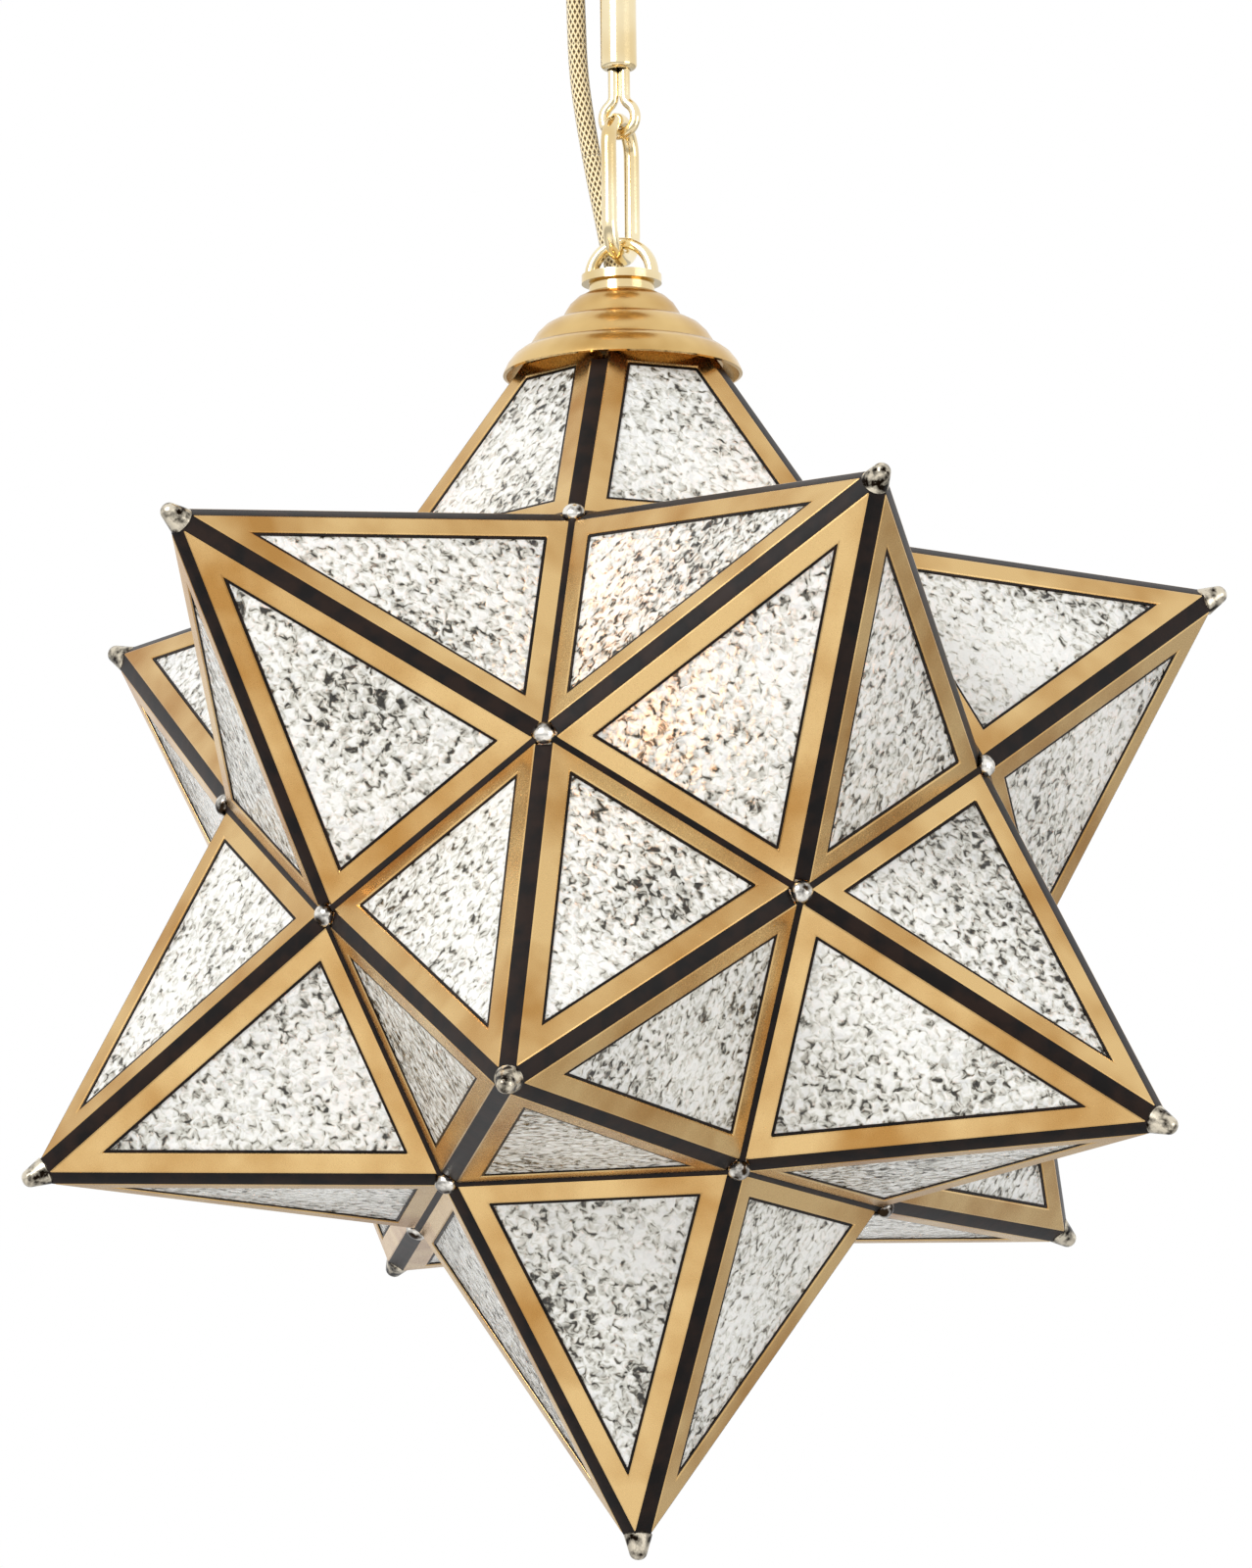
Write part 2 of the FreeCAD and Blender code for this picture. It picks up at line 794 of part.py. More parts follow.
def inset(shape, offsets):
    """The outline with each edge moved inwards by its own offset. Corners run anticlockwise."""
    lines = []
    for i, corner in enumerate(shape):
        way = (shape[(i + 1) % len(shape)] - corner).normalize()
        lines.append((corner + Vector(-way.y, way.x, 0) * offsets[i], way))
    return [lines_meet(*lines[i - 1], *lines[i]) for i in range(len(shape))]


def flat(points):
    return Part.Face(Part.makePolygon([*points, points[0]]))


def solid_of(faces):
    solid = Part.makeSolid(Part.makeShell(faces))
    if solid.Volume < 0:
        solid.reverse()
    return solid


def came_strips(shape):
    """Mitred lengths of channel round an outline, one solid each, faces down from z = 0."""
    face, thick, wall = mm("came_face"), mm("came_thick"), mm("came_wall")
    web, edge = mm("came_web"), mm("came_round")
    blunt = edge * (1 - math.sqrt(0.5))
    section = [
        (face, 0),
        (edge, 0),
        (blunt, blunt),
        (0, edge),
        (0, thick),
        (face, thick),
        (face, thick - wall),
        (web, thick - wall),
        (web, wall),
        (face, wall),
    ]
    rings = [
        [c - Vector(0, 0, depth) for c in inset(shape, [back] * len(shape))]
        for back, depth in section
    ]
    strips = []
    for i in range(len(shape)):
        after = (i + 1) % len(shape)
        faces = [flat([ring[i] for ring in rings]), flat([ring[after] for ring in rings])]
        for k, ring in enumerate(rings):
            last = rings[k - 1]
            faces.append(flat([last[i], last[after], ring[after], ring[i]]))
        strips.append(solid_of(faces))
    return strips


def glass_sheet(shape):
    """The pane that sits in the channel."""
    back = mm("came_web") + mm("glass_seat")
    sink = (mm("came_thick") - mm("glass_thick")) / 2
    points = [c - Vector(0, 0, sink) for c in inset(shape, [back] * len(shape))]
    return flat(points).extrude(Vector(0, 0, -mm("glass_thick")))


def pane_outline(cut=None):
    """A pane's outline in its own plane: its crease on the X axis, and its tip on +Y."""
    half = base_edge / 2
    crease = mm("crease_gap") / 2
    if cut is None:
        shape = [Vector(-half, 0, 0), Vector(half, 0, 0), Vector(0, pane_height, 0)]
        return inset(shape, [crease, ridge_offset, ridge_offset])
    narrow = half * (1 - cut / pane_height)
    shape = [
        Vector(-half, 0, 0),
        Vector(half, 0, 0),
        Vector(narrow, cut, 0),
        Vector(-narrow, cut, 0),
    ]
    return inset(shape, [crease, ridge_offset, PLAY, ridge_offset])


def pane_place(k):
    """Where pane k of the spike on +Z lies."""
    left, right = corners[k], corners[k - 4]
    x_axis = (right - left).normalize()
    z_axis = normals[k]
    return Placement((left + right) / 2, Rotation(x_axis, z_axis.cross(x_axis), z_axis, "ZXY"))


def moved(shape, placement):
    copy = shape.copy()
    copy.Placement = placement.multiply(copy.Placement)
    return copy


def ridge_solder(low, high):
    """The dark solder in one ridge's groove, from low to high along the ridge of corner 0."""
    way = (apex - corners[0]).normalize()
    out = (normals[0] + normals[-1]).normalize()
    side = way.cross(out)
    half_angle = ridge_angle / 2
    shoulder = mm("came_thick") / math.tan(half_angle) * math.cos(half_angle)
    bottom = mm("came_thick") / math.sin(half_angle)
    width = mm("came_thick") / math.tan(half_angle) * math.sin(half_angle)
    level = shoulder + mm("solder_sink")
    reach = width * (bottom - level) / (bottom - shoulder) - mm("solder_fit")
    section = [
        out * -level + side * reach,
        out * -level - side * reach,
        out * -(bottom - mm("solder_fit") * 3),
    ]
    start = corners[0] + way * low
    return flat([start + point for point in section]).extrude(way * (high - low))


def spike_shapes(cut=None):
    """Cames, panes and ridge solder of one spike standing on +Z."""
    shape = pane_outline(cut)
    strips, sheet_of_glass = came_strips(shape), glass_sheet(shape)
    places = [pane_place(k) for k in range(5)]
    cames = Part.makeCompound([moved(s, p) for p in places for s in strips])
    panes = Part.makeCompound([moved(sheet_of_glass, p) for p in places])
    ridge = (apex - corners[0]).Length
    stop = ridge - mm("seam_tip_inset")
    if cut is not None:
        stop = ridge * cut / pane_height - mm("came_thick")
    seam = ridge_solder(mm("seam_inset"), stop)
    fifth = [Placement(Vector(), Rotation(Vector(0, 0, 1), 72 * k)) for k in range(5)]
    return cames, panes, Part.makeCompound([moved(seam, p) for p in fifth])


def spike_place(axis):
    """The placement of a spike on its axis, round the star's centre."""
    near = neighbours(axis, AXES)
    pair = next(v for v in near if near[0].getAngle(v) < AXIS_ANGLE + 0.1 and v != near[0])
    valley = valley_of(axis, near[0], pair)
    return Placement(Vector(), frame_rotation(axis, valley, first_valley))


def feature(label, shape, z=None, turn=None):
    thing = doc.addObject("Part::Feature", label)
    thing.Shape = shape
    return keep(thing, label, z, turn)


def turned(points, rotation):
    """A small turned bead from (radius, height) points, on the axis that rotation gives."""
    wire = [Vector(r, 0, z) for r, z in points]
    bead = flat(wire).revolve(Vector(), Vector(0, 0, 1), 360)
    return moved(bead, Placement(Vector(), rotation))


def valley_seat(cames):
    """Distance from the star's centre at which a bead just rests on the cames round it."""
    radius, low, high = mm("valley_bead") + PLAY, valley_radius - 2, valley_radius + 6
    for _ in range(18):
        middle = (low + high) / 2
        centre = Part.Vertex(first_valley * middle)
        near = centre.distToShape(cames)[0] < radius
        low, high = (middle, high) if near else (low, middle)
    return high


def star():
    """Twelve spikes of glazed cames, with the solder that joins them."""
    whole, cut = spike_shapes(), spike_shapes(cut_height)
    seams = []
    for name, axis in AXES:
        cames, panes, solder = cut if name == "top_spike" else whole
        placement = spike_place(axis)
        feature(f"{name}_frame", cames, star_z, placement.Rotation)
        feature(f"{name}_glass", panes, star_z, placement.Rotation)
        seams += [moved(seam, placement) for seam in solder.Solids]
    feature("ridge_solder", Part.makeCompound(seams), star_z)

    # knobs that close the tips, resting on the cames' corners
    knob = mm("tip_bead")
    median = pane_height - inset_tip_drop()
    lean = math.acos((tip_radius - base_height) / pane_height)
    corner_z = base_height + median * math.cos(lean)
    corner_r = (pane_height - median) * math.sin(lean)
    pit = corner_z - mm("came_thick") * math.sin(lean)
    fit = mm("solder_fit") * 2
    slope = (corner_z - pit) / corner_r
    profile = [
        (0, pit + fit),
        (knob, pit + fit + slope * knob),
        (knob * 0.86, pit + fit + slope * knob + knob * 0.25),
        (knob * 0.35, tip_radius - knob * 0.16),
        (0, tip_radius),
    ]
    tips = [
        turned(profile, spike_place(axis).Rotation)
        for name, axis in AXES
        if name != "top_spike"
    ]
    feature("tip_solder", Part.makeCompound(tips), star_z)

    # beads in the valleys, and the thin seams along the creases
    groups, pairs = [], []
    for i, (_, a) in enumerate(AXES):
        for b in [v for _, v in AXES[i + 1 :] if a.getAngle(v) < AXIS_ANGLE + 0.1]:
            pairs.append((a, b))
            near_both = [v for v in neighbours(a, AXES) if v in neighbours(b, AXES)]
            groups += [valley_of(a, b, v) for v in near_both]
    valleys = []
    for valley in groups:
        if all(valley.getAngle(v) > 0.1 for v in valleys):
            valleys.append(valley)
    around = [
        moved(whole[0], spike_place(axis))
        for _, axis in AXES
        if axis.getAngle(first_valley) < valley_angle + 0.1
    ]
    seat = valley_seat(Part.makeCompound(around))
    bead = mm("valley_bead")
    drop = [
        (0, seat - bead),
        (bead * 0.7, seat - bead * 0.7),
        (bead, seat),
        (bead * 0.8, seat + bead * 0.55),
        (bead * 0.3, seat + bead * 0.8),
        (0, seat + bead * 0.82),
    ]
    beads = [turned(drop, Rotation(Vector(0, 0, 1), v)) for v in valleys]
    feature("valley_solder", Part.makeCompound(beads), star_z)
    feature("crease_solder", Part.makeCompound([crease_seam(*p) for p in pairs]), star_z)


def inset_tip_drop():
    """How far the came's outer corner lies below the pane's tip, along the pane."""
    half_tip = math.atan(base_edge / 2 / pane_height)
    return ridge_offset / math.sin(half_tip)


def crease_seam(a, b):
    """The seam between two spikes' cames, along the crease that they share."""
    ends = [
        valley_of(a, b, v) * valley_radius
        for v in neighbours(a, AXES)
        if v in neighbours(b, AXES)
    ]
    way = (ends[1] - ends[0]).normalize()
    out = (a + b).normalize()
    side = way.cross(out)
    half = mm("crease_gap") * 2 / 3
    deep = mm("came_thick") / 2
    middle = (ends[0] + ends[1]) / 2
    run = way * ((ends[1] - ends[0]).Length / 2 - mm("seam_inset"))
    section = [
        side * half - out * mm("came_round") / 2,
        side * -half - out * mm("came_round") / 2,
        side * -half - out * deep,
        side * half - out * deep,
    ]
    return flat([middle - run + point for point in section]).extrude(run * 2)


# ---------------------------------------------------------------- cord

# The cord's route past the chain: x, y and the height over the star loop's disc, then the
# same under the canopy loop's disc. The wireways' mouths and leans come from the loops.
LOWER_ROUTE = [
    (-5.6, 7.47, 8.2),
    (-7.2, 7.0, 18.0),
    (-9.0, 5.8, 29.0),
    (-11.2, 5.0, 43.0),
    (-13.2, 4.6, 58.0),
    (-13.2, 3.6, 74.0),
]
UPPER_ROUTE = [
    (-5.6, -7.47, 8.2),
    (-7.6, -6.4, 19.0),
    (-9.8, -4.0, 32.0),
    (-11.8, -1.2, 46.0),
]


def cord_route():
    """All points from the star loop's wireway to the canopy loop's."""
    low, high = star_loop_z.value, canopy_loop_z.value
    share = (WIREWAY_SINK + mm("loop_floor")) / WIREWAY.z
    mouth = WIREWAY * share
    points = [Vector(mouth.x, mouth.y, low + mm("loop_floor"))]
    points += [Vector(x, y, low + z) for x, y, z in LOWER_ROUTE]
    points += [Vector(x, y, high - z) for x, y, z in reversed(UPPER_ROUTE)]
    points.append(Vector(mouth.x, -mouth.y, high - mm("loop_floor")))
    return points


def rounded(points):
    """For each inner point of a route: where its arc starts, its middle, and where it ends."""
    turns = []
    for before, point, after in zip(points, points[1:], points[2:]):
        into, out = point - before, after - point
        reach = 0.45 * min(into.Length, out.Length)
        angle = into.getAngle(out)
        radius = reach / math.tan(angle / 2)
        into, out = into.normalize(), out.normalize()
        inwards = (out - into).normalize()
        middle = point + inwards * (radius / math.cos(angle / 2) - radius)
        turns.append((point - into * reach, middle, point + out * reach, radius))
    return turns


def cord_piece(label, start, turns, end):
    """A tube from start through the turns to end; prints its radii and its volume's share."""
    edges, here = [], start
    for enter, middle, leave, _ in turns:
        edges.append(Part.LineSegment(here, enter).toShape())
        edges.append(Part.Arc(enter, middle, leave).toShape())
        here = leave
    edges.append(Part.LineSegment(here, end).toShape())
    path = Part.Wire(edges)
    radius = mm("cord_diameter") / 2
    first = (path.Edges[0].valueAt(path.Edges[0].LastParameter) - start).normalize()
    circle = Part.Wire(Part.makeCircle(radius, start, first))
    tube = path.makePipeShell([circle], True, False)
    share = tube.Volume / (math.pi * radius**2 * path.Length)
    radii = [round(t[3], 1) for t in turns]
    print(label, "radii", radii, "length", round(path.Length, 1), "share", round(share, 4))
    feature(label, tube)


def cords():
    """The cord inside the loops' shanks, and its free length beside the chain."""
    points = cord_route()
    turns = rounded(points)
    splits = {2: None, 5: None, 8: None}
    for index in splits:
        splits[index] = (points[index] + points[index + 1]) / 2
    first, second, third = splits.values()
    cord_piece("cord_at_star", points[0], turns[0:2], first)
    cord_piece("cord_by_ring", first, turns[2:5], second)
    cord_piece("cord_by_sleeve", second, turns[5:8], third)
    cord_piece("cord_at_canopy", third, turns[8:], points[-1])
    for label, mouth, base, far in (
        ("cord_to_lampholder", points[0], star_loop_z.value - WIREWAY_SINK, -1),
        ("cord_to_ceiling", points[-1], canopy_loop_z.value + WIREWAY_SINK, 1),
    ):
        bend = Vector(0, 0, base)
        end = holder_top.value - mm("holder_cap") * 0.75 if far < 0 else -PLAY
        cord_piece(label, mouth, rounded([mouth, bend, Vector(0, 0, end)]), Vector(0, 0, end))


# ---------------------------------------------------------------- build

canopy()
crossbar()
nut("crossbar_nut", -(at("bar_thick") + at("nut_height") + PLAY))
loop("canopy_loop", at("canopy_height") - PLAY * 10, canopy_loop_z, Rotation(0, 0, 180))
ring_link("upper_ring", upper_ring_z)
sleeve_link()
link_sleeve()
ring_link("lower_ring", lower_ring_z)
loop("star_loop", at("shank_length"), star_loop_z)
cap()
top_plate()
strap_hole = at("shank_radius") + at("thread_gap") * 4
strap_size = (at("strap_length"), at("strap_width"), at("strap_thick"))
strip("cap_strap", *strap_size, strap_hole, strap_z)
nut("strap_nut", strap_nut_z)
lampholder()
lamp()
star()
cords()
doc.recompute()

bad = [o.Name for o in doc.Objects if {"Invalid", "Error"} & set(o.State)]
assert not bad, f"not computed: {bad}"
os.makedirs("parts", exist_ok=True)
for part in parts:
    shape = part.Shape
    assert not shape.isNull() and shape.isValid(), part.Label
    shape.exportStep(f"parts/{part.Label}.step")
    box = shape.BoundBox
    print(
        f"{part.Label:22} {len(shape.Solids):3} solids  volume {shape.Volume:10.1f}"
        f"  z {box.ZMin:8.2f} to {box.ZMax:8.2f}"
    )
print(len(parts), "parts")
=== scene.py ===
# %% [markdown]
# # A glazed star pendant
# The lamp is a star of twelve glass spikes in brass came, hung on two ring links and a sleeve
# link under a ceiling canopy. The glass, the chain, the canopy and the lamp inside come from the
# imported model, so they keep their exact size and place, and only get their finishes here. This
# file models the brass frames, the solder, the putty, the spun cap and the braided cord, and
# then sets the camera and the light.

# %% Load the model
import math

import bmesh
import bpy
from mathutils import Matrix, Vector


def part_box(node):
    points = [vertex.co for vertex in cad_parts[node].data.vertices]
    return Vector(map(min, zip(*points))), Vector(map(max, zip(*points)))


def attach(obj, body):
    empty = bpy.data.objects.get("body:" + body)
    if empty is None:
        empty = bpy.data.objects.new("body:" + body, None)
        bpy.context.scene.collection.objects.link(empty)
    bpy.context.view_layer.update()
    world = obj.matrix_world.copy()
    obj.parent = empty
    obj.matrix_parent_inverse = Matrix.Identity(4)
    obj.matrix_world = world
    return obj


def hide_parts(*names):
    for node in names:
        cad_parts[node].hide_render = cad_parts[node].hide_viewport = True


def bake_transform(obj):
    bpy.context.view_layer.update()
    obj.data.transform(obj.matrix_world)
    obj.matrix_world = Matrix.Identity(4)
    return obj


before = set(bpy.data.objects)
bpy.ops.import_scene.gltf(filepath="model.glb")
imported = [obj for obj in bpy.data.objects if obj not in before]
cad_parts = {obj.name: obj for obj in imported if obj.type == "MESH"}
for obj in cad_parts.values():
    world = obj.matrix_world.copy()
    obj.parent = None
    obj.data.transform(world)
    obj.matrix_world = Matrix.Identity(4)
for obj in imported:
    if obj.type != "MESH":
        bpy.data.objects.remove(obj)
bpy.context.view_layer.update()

# %% [markdown]
# ## Where things are
# Every place comes from the model. The lowest solder knob ends at the star's lower tip, so the
# star's centre is one tip radius above it. Each loop is an arch on a flat disc, and the far
# side of the disc is the plane from which the cord's points are measured.

# %% Driving sizes
TIP_RADIUS = 0.175
TIP_TO_VALLEY = 1.65
VALLEY_RADIUS = TIP_RADIUS / TIP_TO_VALLEY
FRONT_TURN = math.radians(10)
LOOP_DISC = 0.0022
LOOP_ARCH = 0.010
CORD_DIAMETER = 0.005

lower_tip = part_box("tip_solder")[0][2]
star_centre = Vector((0, 0, lower_tip + TIP_RADIUS))
lower_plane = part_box("star_loop")[1][2] - (LOOP_ARCH + LOOP_DISC)
upper_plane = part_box("canopy_loop")[0][2] + (LOOP_ARCH + LOOP_DISC)
print("star centre at", star_centre.z, "- chain between", lower_plane, "and", upper_plane)

# %% [markdown]
# ## Camera
# The photograph was taken from a little below the star and from far away, because its spikes
# hardly shrink with distance. So the lens is long. A camera looks along its own -Z, and its
# frame's longer side is the height here. CENTRE_PX is where the star's centre falls in the
# photograph, and the camera is moved sideways until it falls there too.

# %% Place the camera
VIEW_AZIMUTH = math.radians(21.6)
VIEW_ELEVATION = math.radians(-10.8)
VIEW_ROLL = math.radians(-0.75)
VIEW_DISTANCE = 3.52
IMAGE_HEIGHT_PX = 1600
IMAGE_WIDTH_PX = 1278
FOCAL_PX = 14000
CENTRE_PX = (642.6, 902.0)
SENSOR_MM = 36.0
FARTHEST_SEEN = 50

back = Vector((
    math.sin(VIEW_AZIMUTH) * math.cos(VIEW_ELEVATION),
    -math.cos(VIEW_AZIMUTH) * math.cos(VIEW_ELEVATION),
    math.sin(VIEW_ELEVATION),
))
turn = back.to_track_quat("Z", "Y").to_matrix() @ Matrix.Rotation(VIEW_ROLL, 3, "Z")
metres_per_px = VIEW_DISTANCE / FOCAL_PX
aim = star_centre + turn @ Vector((
    (IMAGE_WIDTH_PX / 2 - CENTRE_PX[0]) * metres_per_px,
    (CENTRE_PX[1] - IMAGE_HEIGHT_PX / 2) * metres_per_px,
    0,
))
camera_data = bpy.data.cameras.new("camera")
camera_data.sensor_width = SENSOR_MM
camera_data.lens = FOCAL_PX / IMAGE_HEIGHT_PX * SENSOR_MM
camera_data.clip_end = FARTHEST_SEEN
camera = bpy.data.objects.new("camera", camera_data)
camera.matrix_world = Matrix.Translation(aim + back * VIEW_DISTANCE) @ turn.to_4x4()
bpy.context.collection.objects.link(camera)
bpy.context.scene.camera = camera
print("camera lens", round(camera_data.lens), "mm at", VIEW_DISTANCE, "m")

# %% [markdown]
# ## Colours and nodes
# Colours are written as they look on a screen, so one function turns them to the linear values
# that Blender computes with. A material is a tree of nodes, whose inputs hold a value or take
# another node's output. One function feeds the inputs of a node, and one adds a node and feeds
# it. A pattern's scale comes from the real size of its marks in millimetres.


# %% Colours and patterns in real sizes
def linear(hex_colour):
    """Linear RGBA of an sRGB hex colour."""
    channels = [int(hex_colour[i : i + 2], 16) / 255 for i in (1, 3, 5)]
    curved = [c / 12.92 if c <= 0.04045 else ((c + 0.055) / 1.055) ** 2.4 for c in channels]
    return (*curved, 1.0)


def scale_for(size_mm):
    """A texture scale whose features come out about size_mm across."""
    return 1000.0 / size_mm


print("white is", linear("#FFFFFF"))


# %% Nodes
def feed(tree, node, **inputs):
    """Gives inputs a value or another node's socket. An input is called by name or as _0, _1."""
    for key, value in inputs.items():
        spot = int(key[1:]) if key[1:].isdigit() else key.replace("_", " ")
        if isinstance(value, bpy.types.NodeSocket):
            tree.links.new(value, node.inputs[spot])
        else:
            node.inputs[spot].default_value = value


def add(tree, kind, settings=None, stops=(), **inputs):
    """Adds a node with its own settings or a ramp's (position, hex colour) stops, and feeds it."""
    node = tree.nodes.new(kind)
    for key, value in (settings or {}).items():
        setattr(node, key, value)
    for count, (position, colour) in enumerate(stops):
        elements = node.color_ramp.elements
        element = elements[count] if count < len(elements) else elements.new(position)
        element.position = position
        element.color = linear(colour)
    feed(tree, node, **inputs)
    return node


def start_material(name):
    """An empty material: its tree, its shader and the object coordinates in metres."""
    material = bpy.data.materials.new(name)
    material.use_nodes = True
    tree = material.node_tree
    place = add(tree, "ShaderNodeTexCoord").outputs["Object"]
    return material, tree, tree.nodes["Principled BSDF"], place


# %% [markdown]
# ## Brass
# Came and fittings are brass with a thin antique lacquer. The metal's own colour does the
# work: a metal has no diffuse light, so it shows its surroundings, softened by fine brushing.
# Handling leaves the lacquer slightly darker in broad, soft patches. The chain is bare drawn
# brass, smoother and paler. Brush marks are far finer than a millimetre, and are drawn about
# that coarse so that they show.

# %% Satin brass
HANDLED_PATCH_MM = 28
SMOOTHER = 0.05
ROUGHER = 0.08
BRUSH_DEPTH = 0.00006


def satin_brass(name, light, dark, roughness, brush_mm):
    material, tree, shader, place = start_material(name)
    broad = scale_for(HANDLED_PATCH_MM)
    patches = add(tree, "ShaderNodeTexNoise", Vector=place, Scale=broad, Detail=3.0)
    grain = add(tree, "ShaderNodeTexNoise", Vector=place, Scale=scale_for(brush_mm), Detail=2.0)
    spread = add(
        tree,
        "ShaderNodeMapRange",
        Value=grain.outputs["Fac"],
        To_Min=roughness - SMOOTHER,
        To_Max=roughness + ROUGHER,
    )
    height = grain.outputs["Fac"]
    bump = add(tree, "ShaderNodeBump", Height=height, Strength=0.12, Distance=BRUSH_DEPTH)
    shades = [(0.3, dark), (0.6, light)]
    colour = add(tree, "ShaderNodeValToRGB", stops=shades, Fac=patches.outputs["Fac"])
    feed(
        tree,
        shader,
        Base_Color=colour.outputs["Color"],
        Metallic=1.0,
        Roughness=spread.outputs["Result"],
        Normal=bump.outputs["Normal"],
    )
    return material


came_brass = satin_brass(
    "came_satin_brass", "#DDBB82", "#B6874A", roughness=0.25, brush_mm=0.9
)
fitting_brass = satin_brass(
    "lacquered_antique_brass", "#E2C184", "#BB914F", roughness=0.2, brush_mm=0.7
)
bright_brass = satin_brass(
    "bright_drawn_brass", "#F7E8C2", "#E0C48A", roughness=0.12, brush_mm=0.5
)
print("brass finishes made")

# %% [markdown]
# ## Hammered glass
# Hammered cathedral glass is rolled clear, with small hollows pressed into one face. Each
# hollow is a tiny lens: it breaks what is behind it into bright and dark specks, so the pane
# looks pale grey and nobody sees the bulb plainly. Real lenses would need millions of faces, so
# noise draws the specks and a bump the hollows. The specks crowd together in some places, and a
# little light of its own stands for what the real glass gathers from all sides.

# %% Hammered glass
SPECK_MM = 2.1
CROWD_MM = 38
CROWDING = 0.3
HOLLOW_MM = 3.2
HOLLOW_DEPTH = 0.0011
SPECK_SHADES = [
    (0.46, "#211E19"),
    (0.51, "#7D7A70"),
    (0.56, "#C3C1B7"),
    (0.64, "#E9E8E0"),
    (0.72, "#FFFFFC"),
]


def hammered_glass():
    material, tree, shader, place = start_material("hammered_cathedral_glass")
    noise = add(
        tree,
        "ShaderNodeTexNoise",
        Vector=place,
        Scale=scale_for(SPECK_MM),
        Detail=2.2,
        Distortion=0.7,
    )
    specks = noise.outputs["Fac"]
    crowd = add(tree, "ShaderNodeTexNoise", Vector=place, Scale=scale_for(CROWD_MM), Detail=1.0)
    crowded = add(
        tree,
        "ShaderNodeMath",
        {"operation": "MULTIPLY_ADD"},
        _0=crowd.outputs["Fac"],
        _1=CROWDING,
        _2=specks,
    )
    colour = add(tree, "ShaderNodeValToRGB", stops=SPECK_SHADES, Fac=crowded.outputs[0])
    hollows = add(tree, "ShaderNodeTexVoronoi", Vector=place, Scale=scale_for(HOLLOW_MM))
    height = add(
        tree,
        "ShaderNodeMath",
        {"operation": "ADD"},
        _0=hollows.outputs["Distance"],
        _1=specks,
    )
    relief = height.outputs[0]
    bump = add(tree, "ShaderNodeBump", Height=relief, Strength=0.55, Distance=HOLLOW_DEPTH)
    feed(
        tree,
        shader,
        Base_Color=colour.outputs["Color"],
        Emission_Color=colour.outputs["Color"],
        Emission_Strength=0.08,
        Transmission_Weight=0.42,
        IOR=1.5,
        Roughness=0.14,
        Normal=bump.outputs["Normal"],
    )
    return material


pane_glass = hammered_glass()
print("glass made")

# %% [markdown]
# ## Solder, steel, phenolic
# The came joints are tin solder, brushed with a black patina along the ridges, which leaves it
# matt. Where beads are wiped clean, the tin shows silver, with dark flux in its dimples. The
# crossbar and its nuts are zinc-plated steel, the lamp's base is drawn aluminium, and the
# lampholder is moulded phenolic resin, dark brown and slightly glossy. One function makes them
# all: cloudy patches of two shades, and the same patches as a shallow unevenness.


# %% Solder, steel and phenolic
def plain_finish(name, light, dark, metallic, roughness, patch_mm, bump_mm, gloss=0.5):
    material, tree, shader, place = start_material(name)
    noise = add(tree, "ShaderNodeTexNoise", Vector=place, Scale=scale_for(patch_mm), Detail=4.0)
    patches = noise.outputs["Fac"]
    bump = add(tree, "ShaderNodeBump", Height=patches, Strength=0.4, Distance=bump_mm / 1000)
    shades = [(0.4, dark), (0.6, light)]
    colour = add(tree, "ShaderNodeValToRGB", stops=shades, Fac=patches)
    feed(
        tree,
        shader,
        Base_Color=colour.outputs["Color"],
        Metallic=metallic,
        Roughness=roughness,
        Specular_IOR_Level=gloss,
        Normal=bump.outputs["Normal"],
    )
    return material


black_solder = plain_finish(
    "black_patina_solder", "#1C0F08", "#070302",
    metallic=0.0, roughness=0.42, patch_mm=7, bump_mm=0.2, gloss=0.16,
)
wiped_solder = plain_finish(
    "wiped_tin_solder", "#F2EEE6", "#2E2318",
    metallic=1.0, roughness=0.2, patch_mm=3.5, bump_mm=0.2,
)
knob_solder = plain_finish(
    "stained_tin_solder", "#DAD0BC", "#160E08",
    metallic=1.0, roughness=0.26, patch_mm=2.6, bump_mm=0.3,
)
zinc_steel = plain_finish(
    "zinc_plated_steel", "#C9CBCB", "#A3A6A6",
    metallic=1.0, roughness=0.34, patch_mm=9, bump_mm=0.05,
)
phenolic = plain_finish(
    "moulded_phenolic", "#241812", "#15100C",
    metallic=0.0, roughness=0.28, patch_mm=20, bump_mm=0.02,
)
lamp_alloy = plain_finish(
    "drawn_aluminium", "#D8D9D6", "#B9BAB6",
    metallic=1.0, roughness=0.25, patch_mm=4, bump_mm=0.03,
)
print("solder, steel, resin and aluminium made")

# %% [markdown]
# ## Lit lamp
# The bulb is lit, but dimly, so it only warms the panes in front of it. A light in Blender
# stays behind when the model is exported, so the glass and the filament glow themselves. The
# glass is thin and clear with a faint amber veil, and the filament is brighter.

# %% Lamp glass and filament
VEIL_MM = 12


def lit_material(name, colour, strength, transmission):
    material, tree, shader, place = start_material(name)
    veil = add(tree, "ShaderNodeTexNoise", Vector=place, Scale=scale_for(VEIL_MM), Detail=1.0)
    shades = [(0.3, colour), (0.7, "#FFF1D6")]
    tint = add(tree, "ShaderNodeValToRGB", stops=shades, Fac=veil.outputs["Fac"])
    feed(
        tree,
        shader,
        Base_Color=tint.outputs["Color"],
        Roughness=0.08,
        Transmission_Weight=transmission,
        Emission_Color=linear(colour),
        Emission_Strength=strength,
    )
    return material


lamp_glass = lit_material("warm_lamp_glass", "#FFC871", strength=1.6, transmission=0.7)
glowing = lit_material("glowing_filament", "#FFB75A", strength=12.0, transmission=0.0)
print("lamp glass and filament made")

# %% [markdown]
# ## Dressing the model
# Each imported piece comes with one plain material. A piece has slots for materials, and putting
# the real finish into them changes its look and leaves its mesh alone.


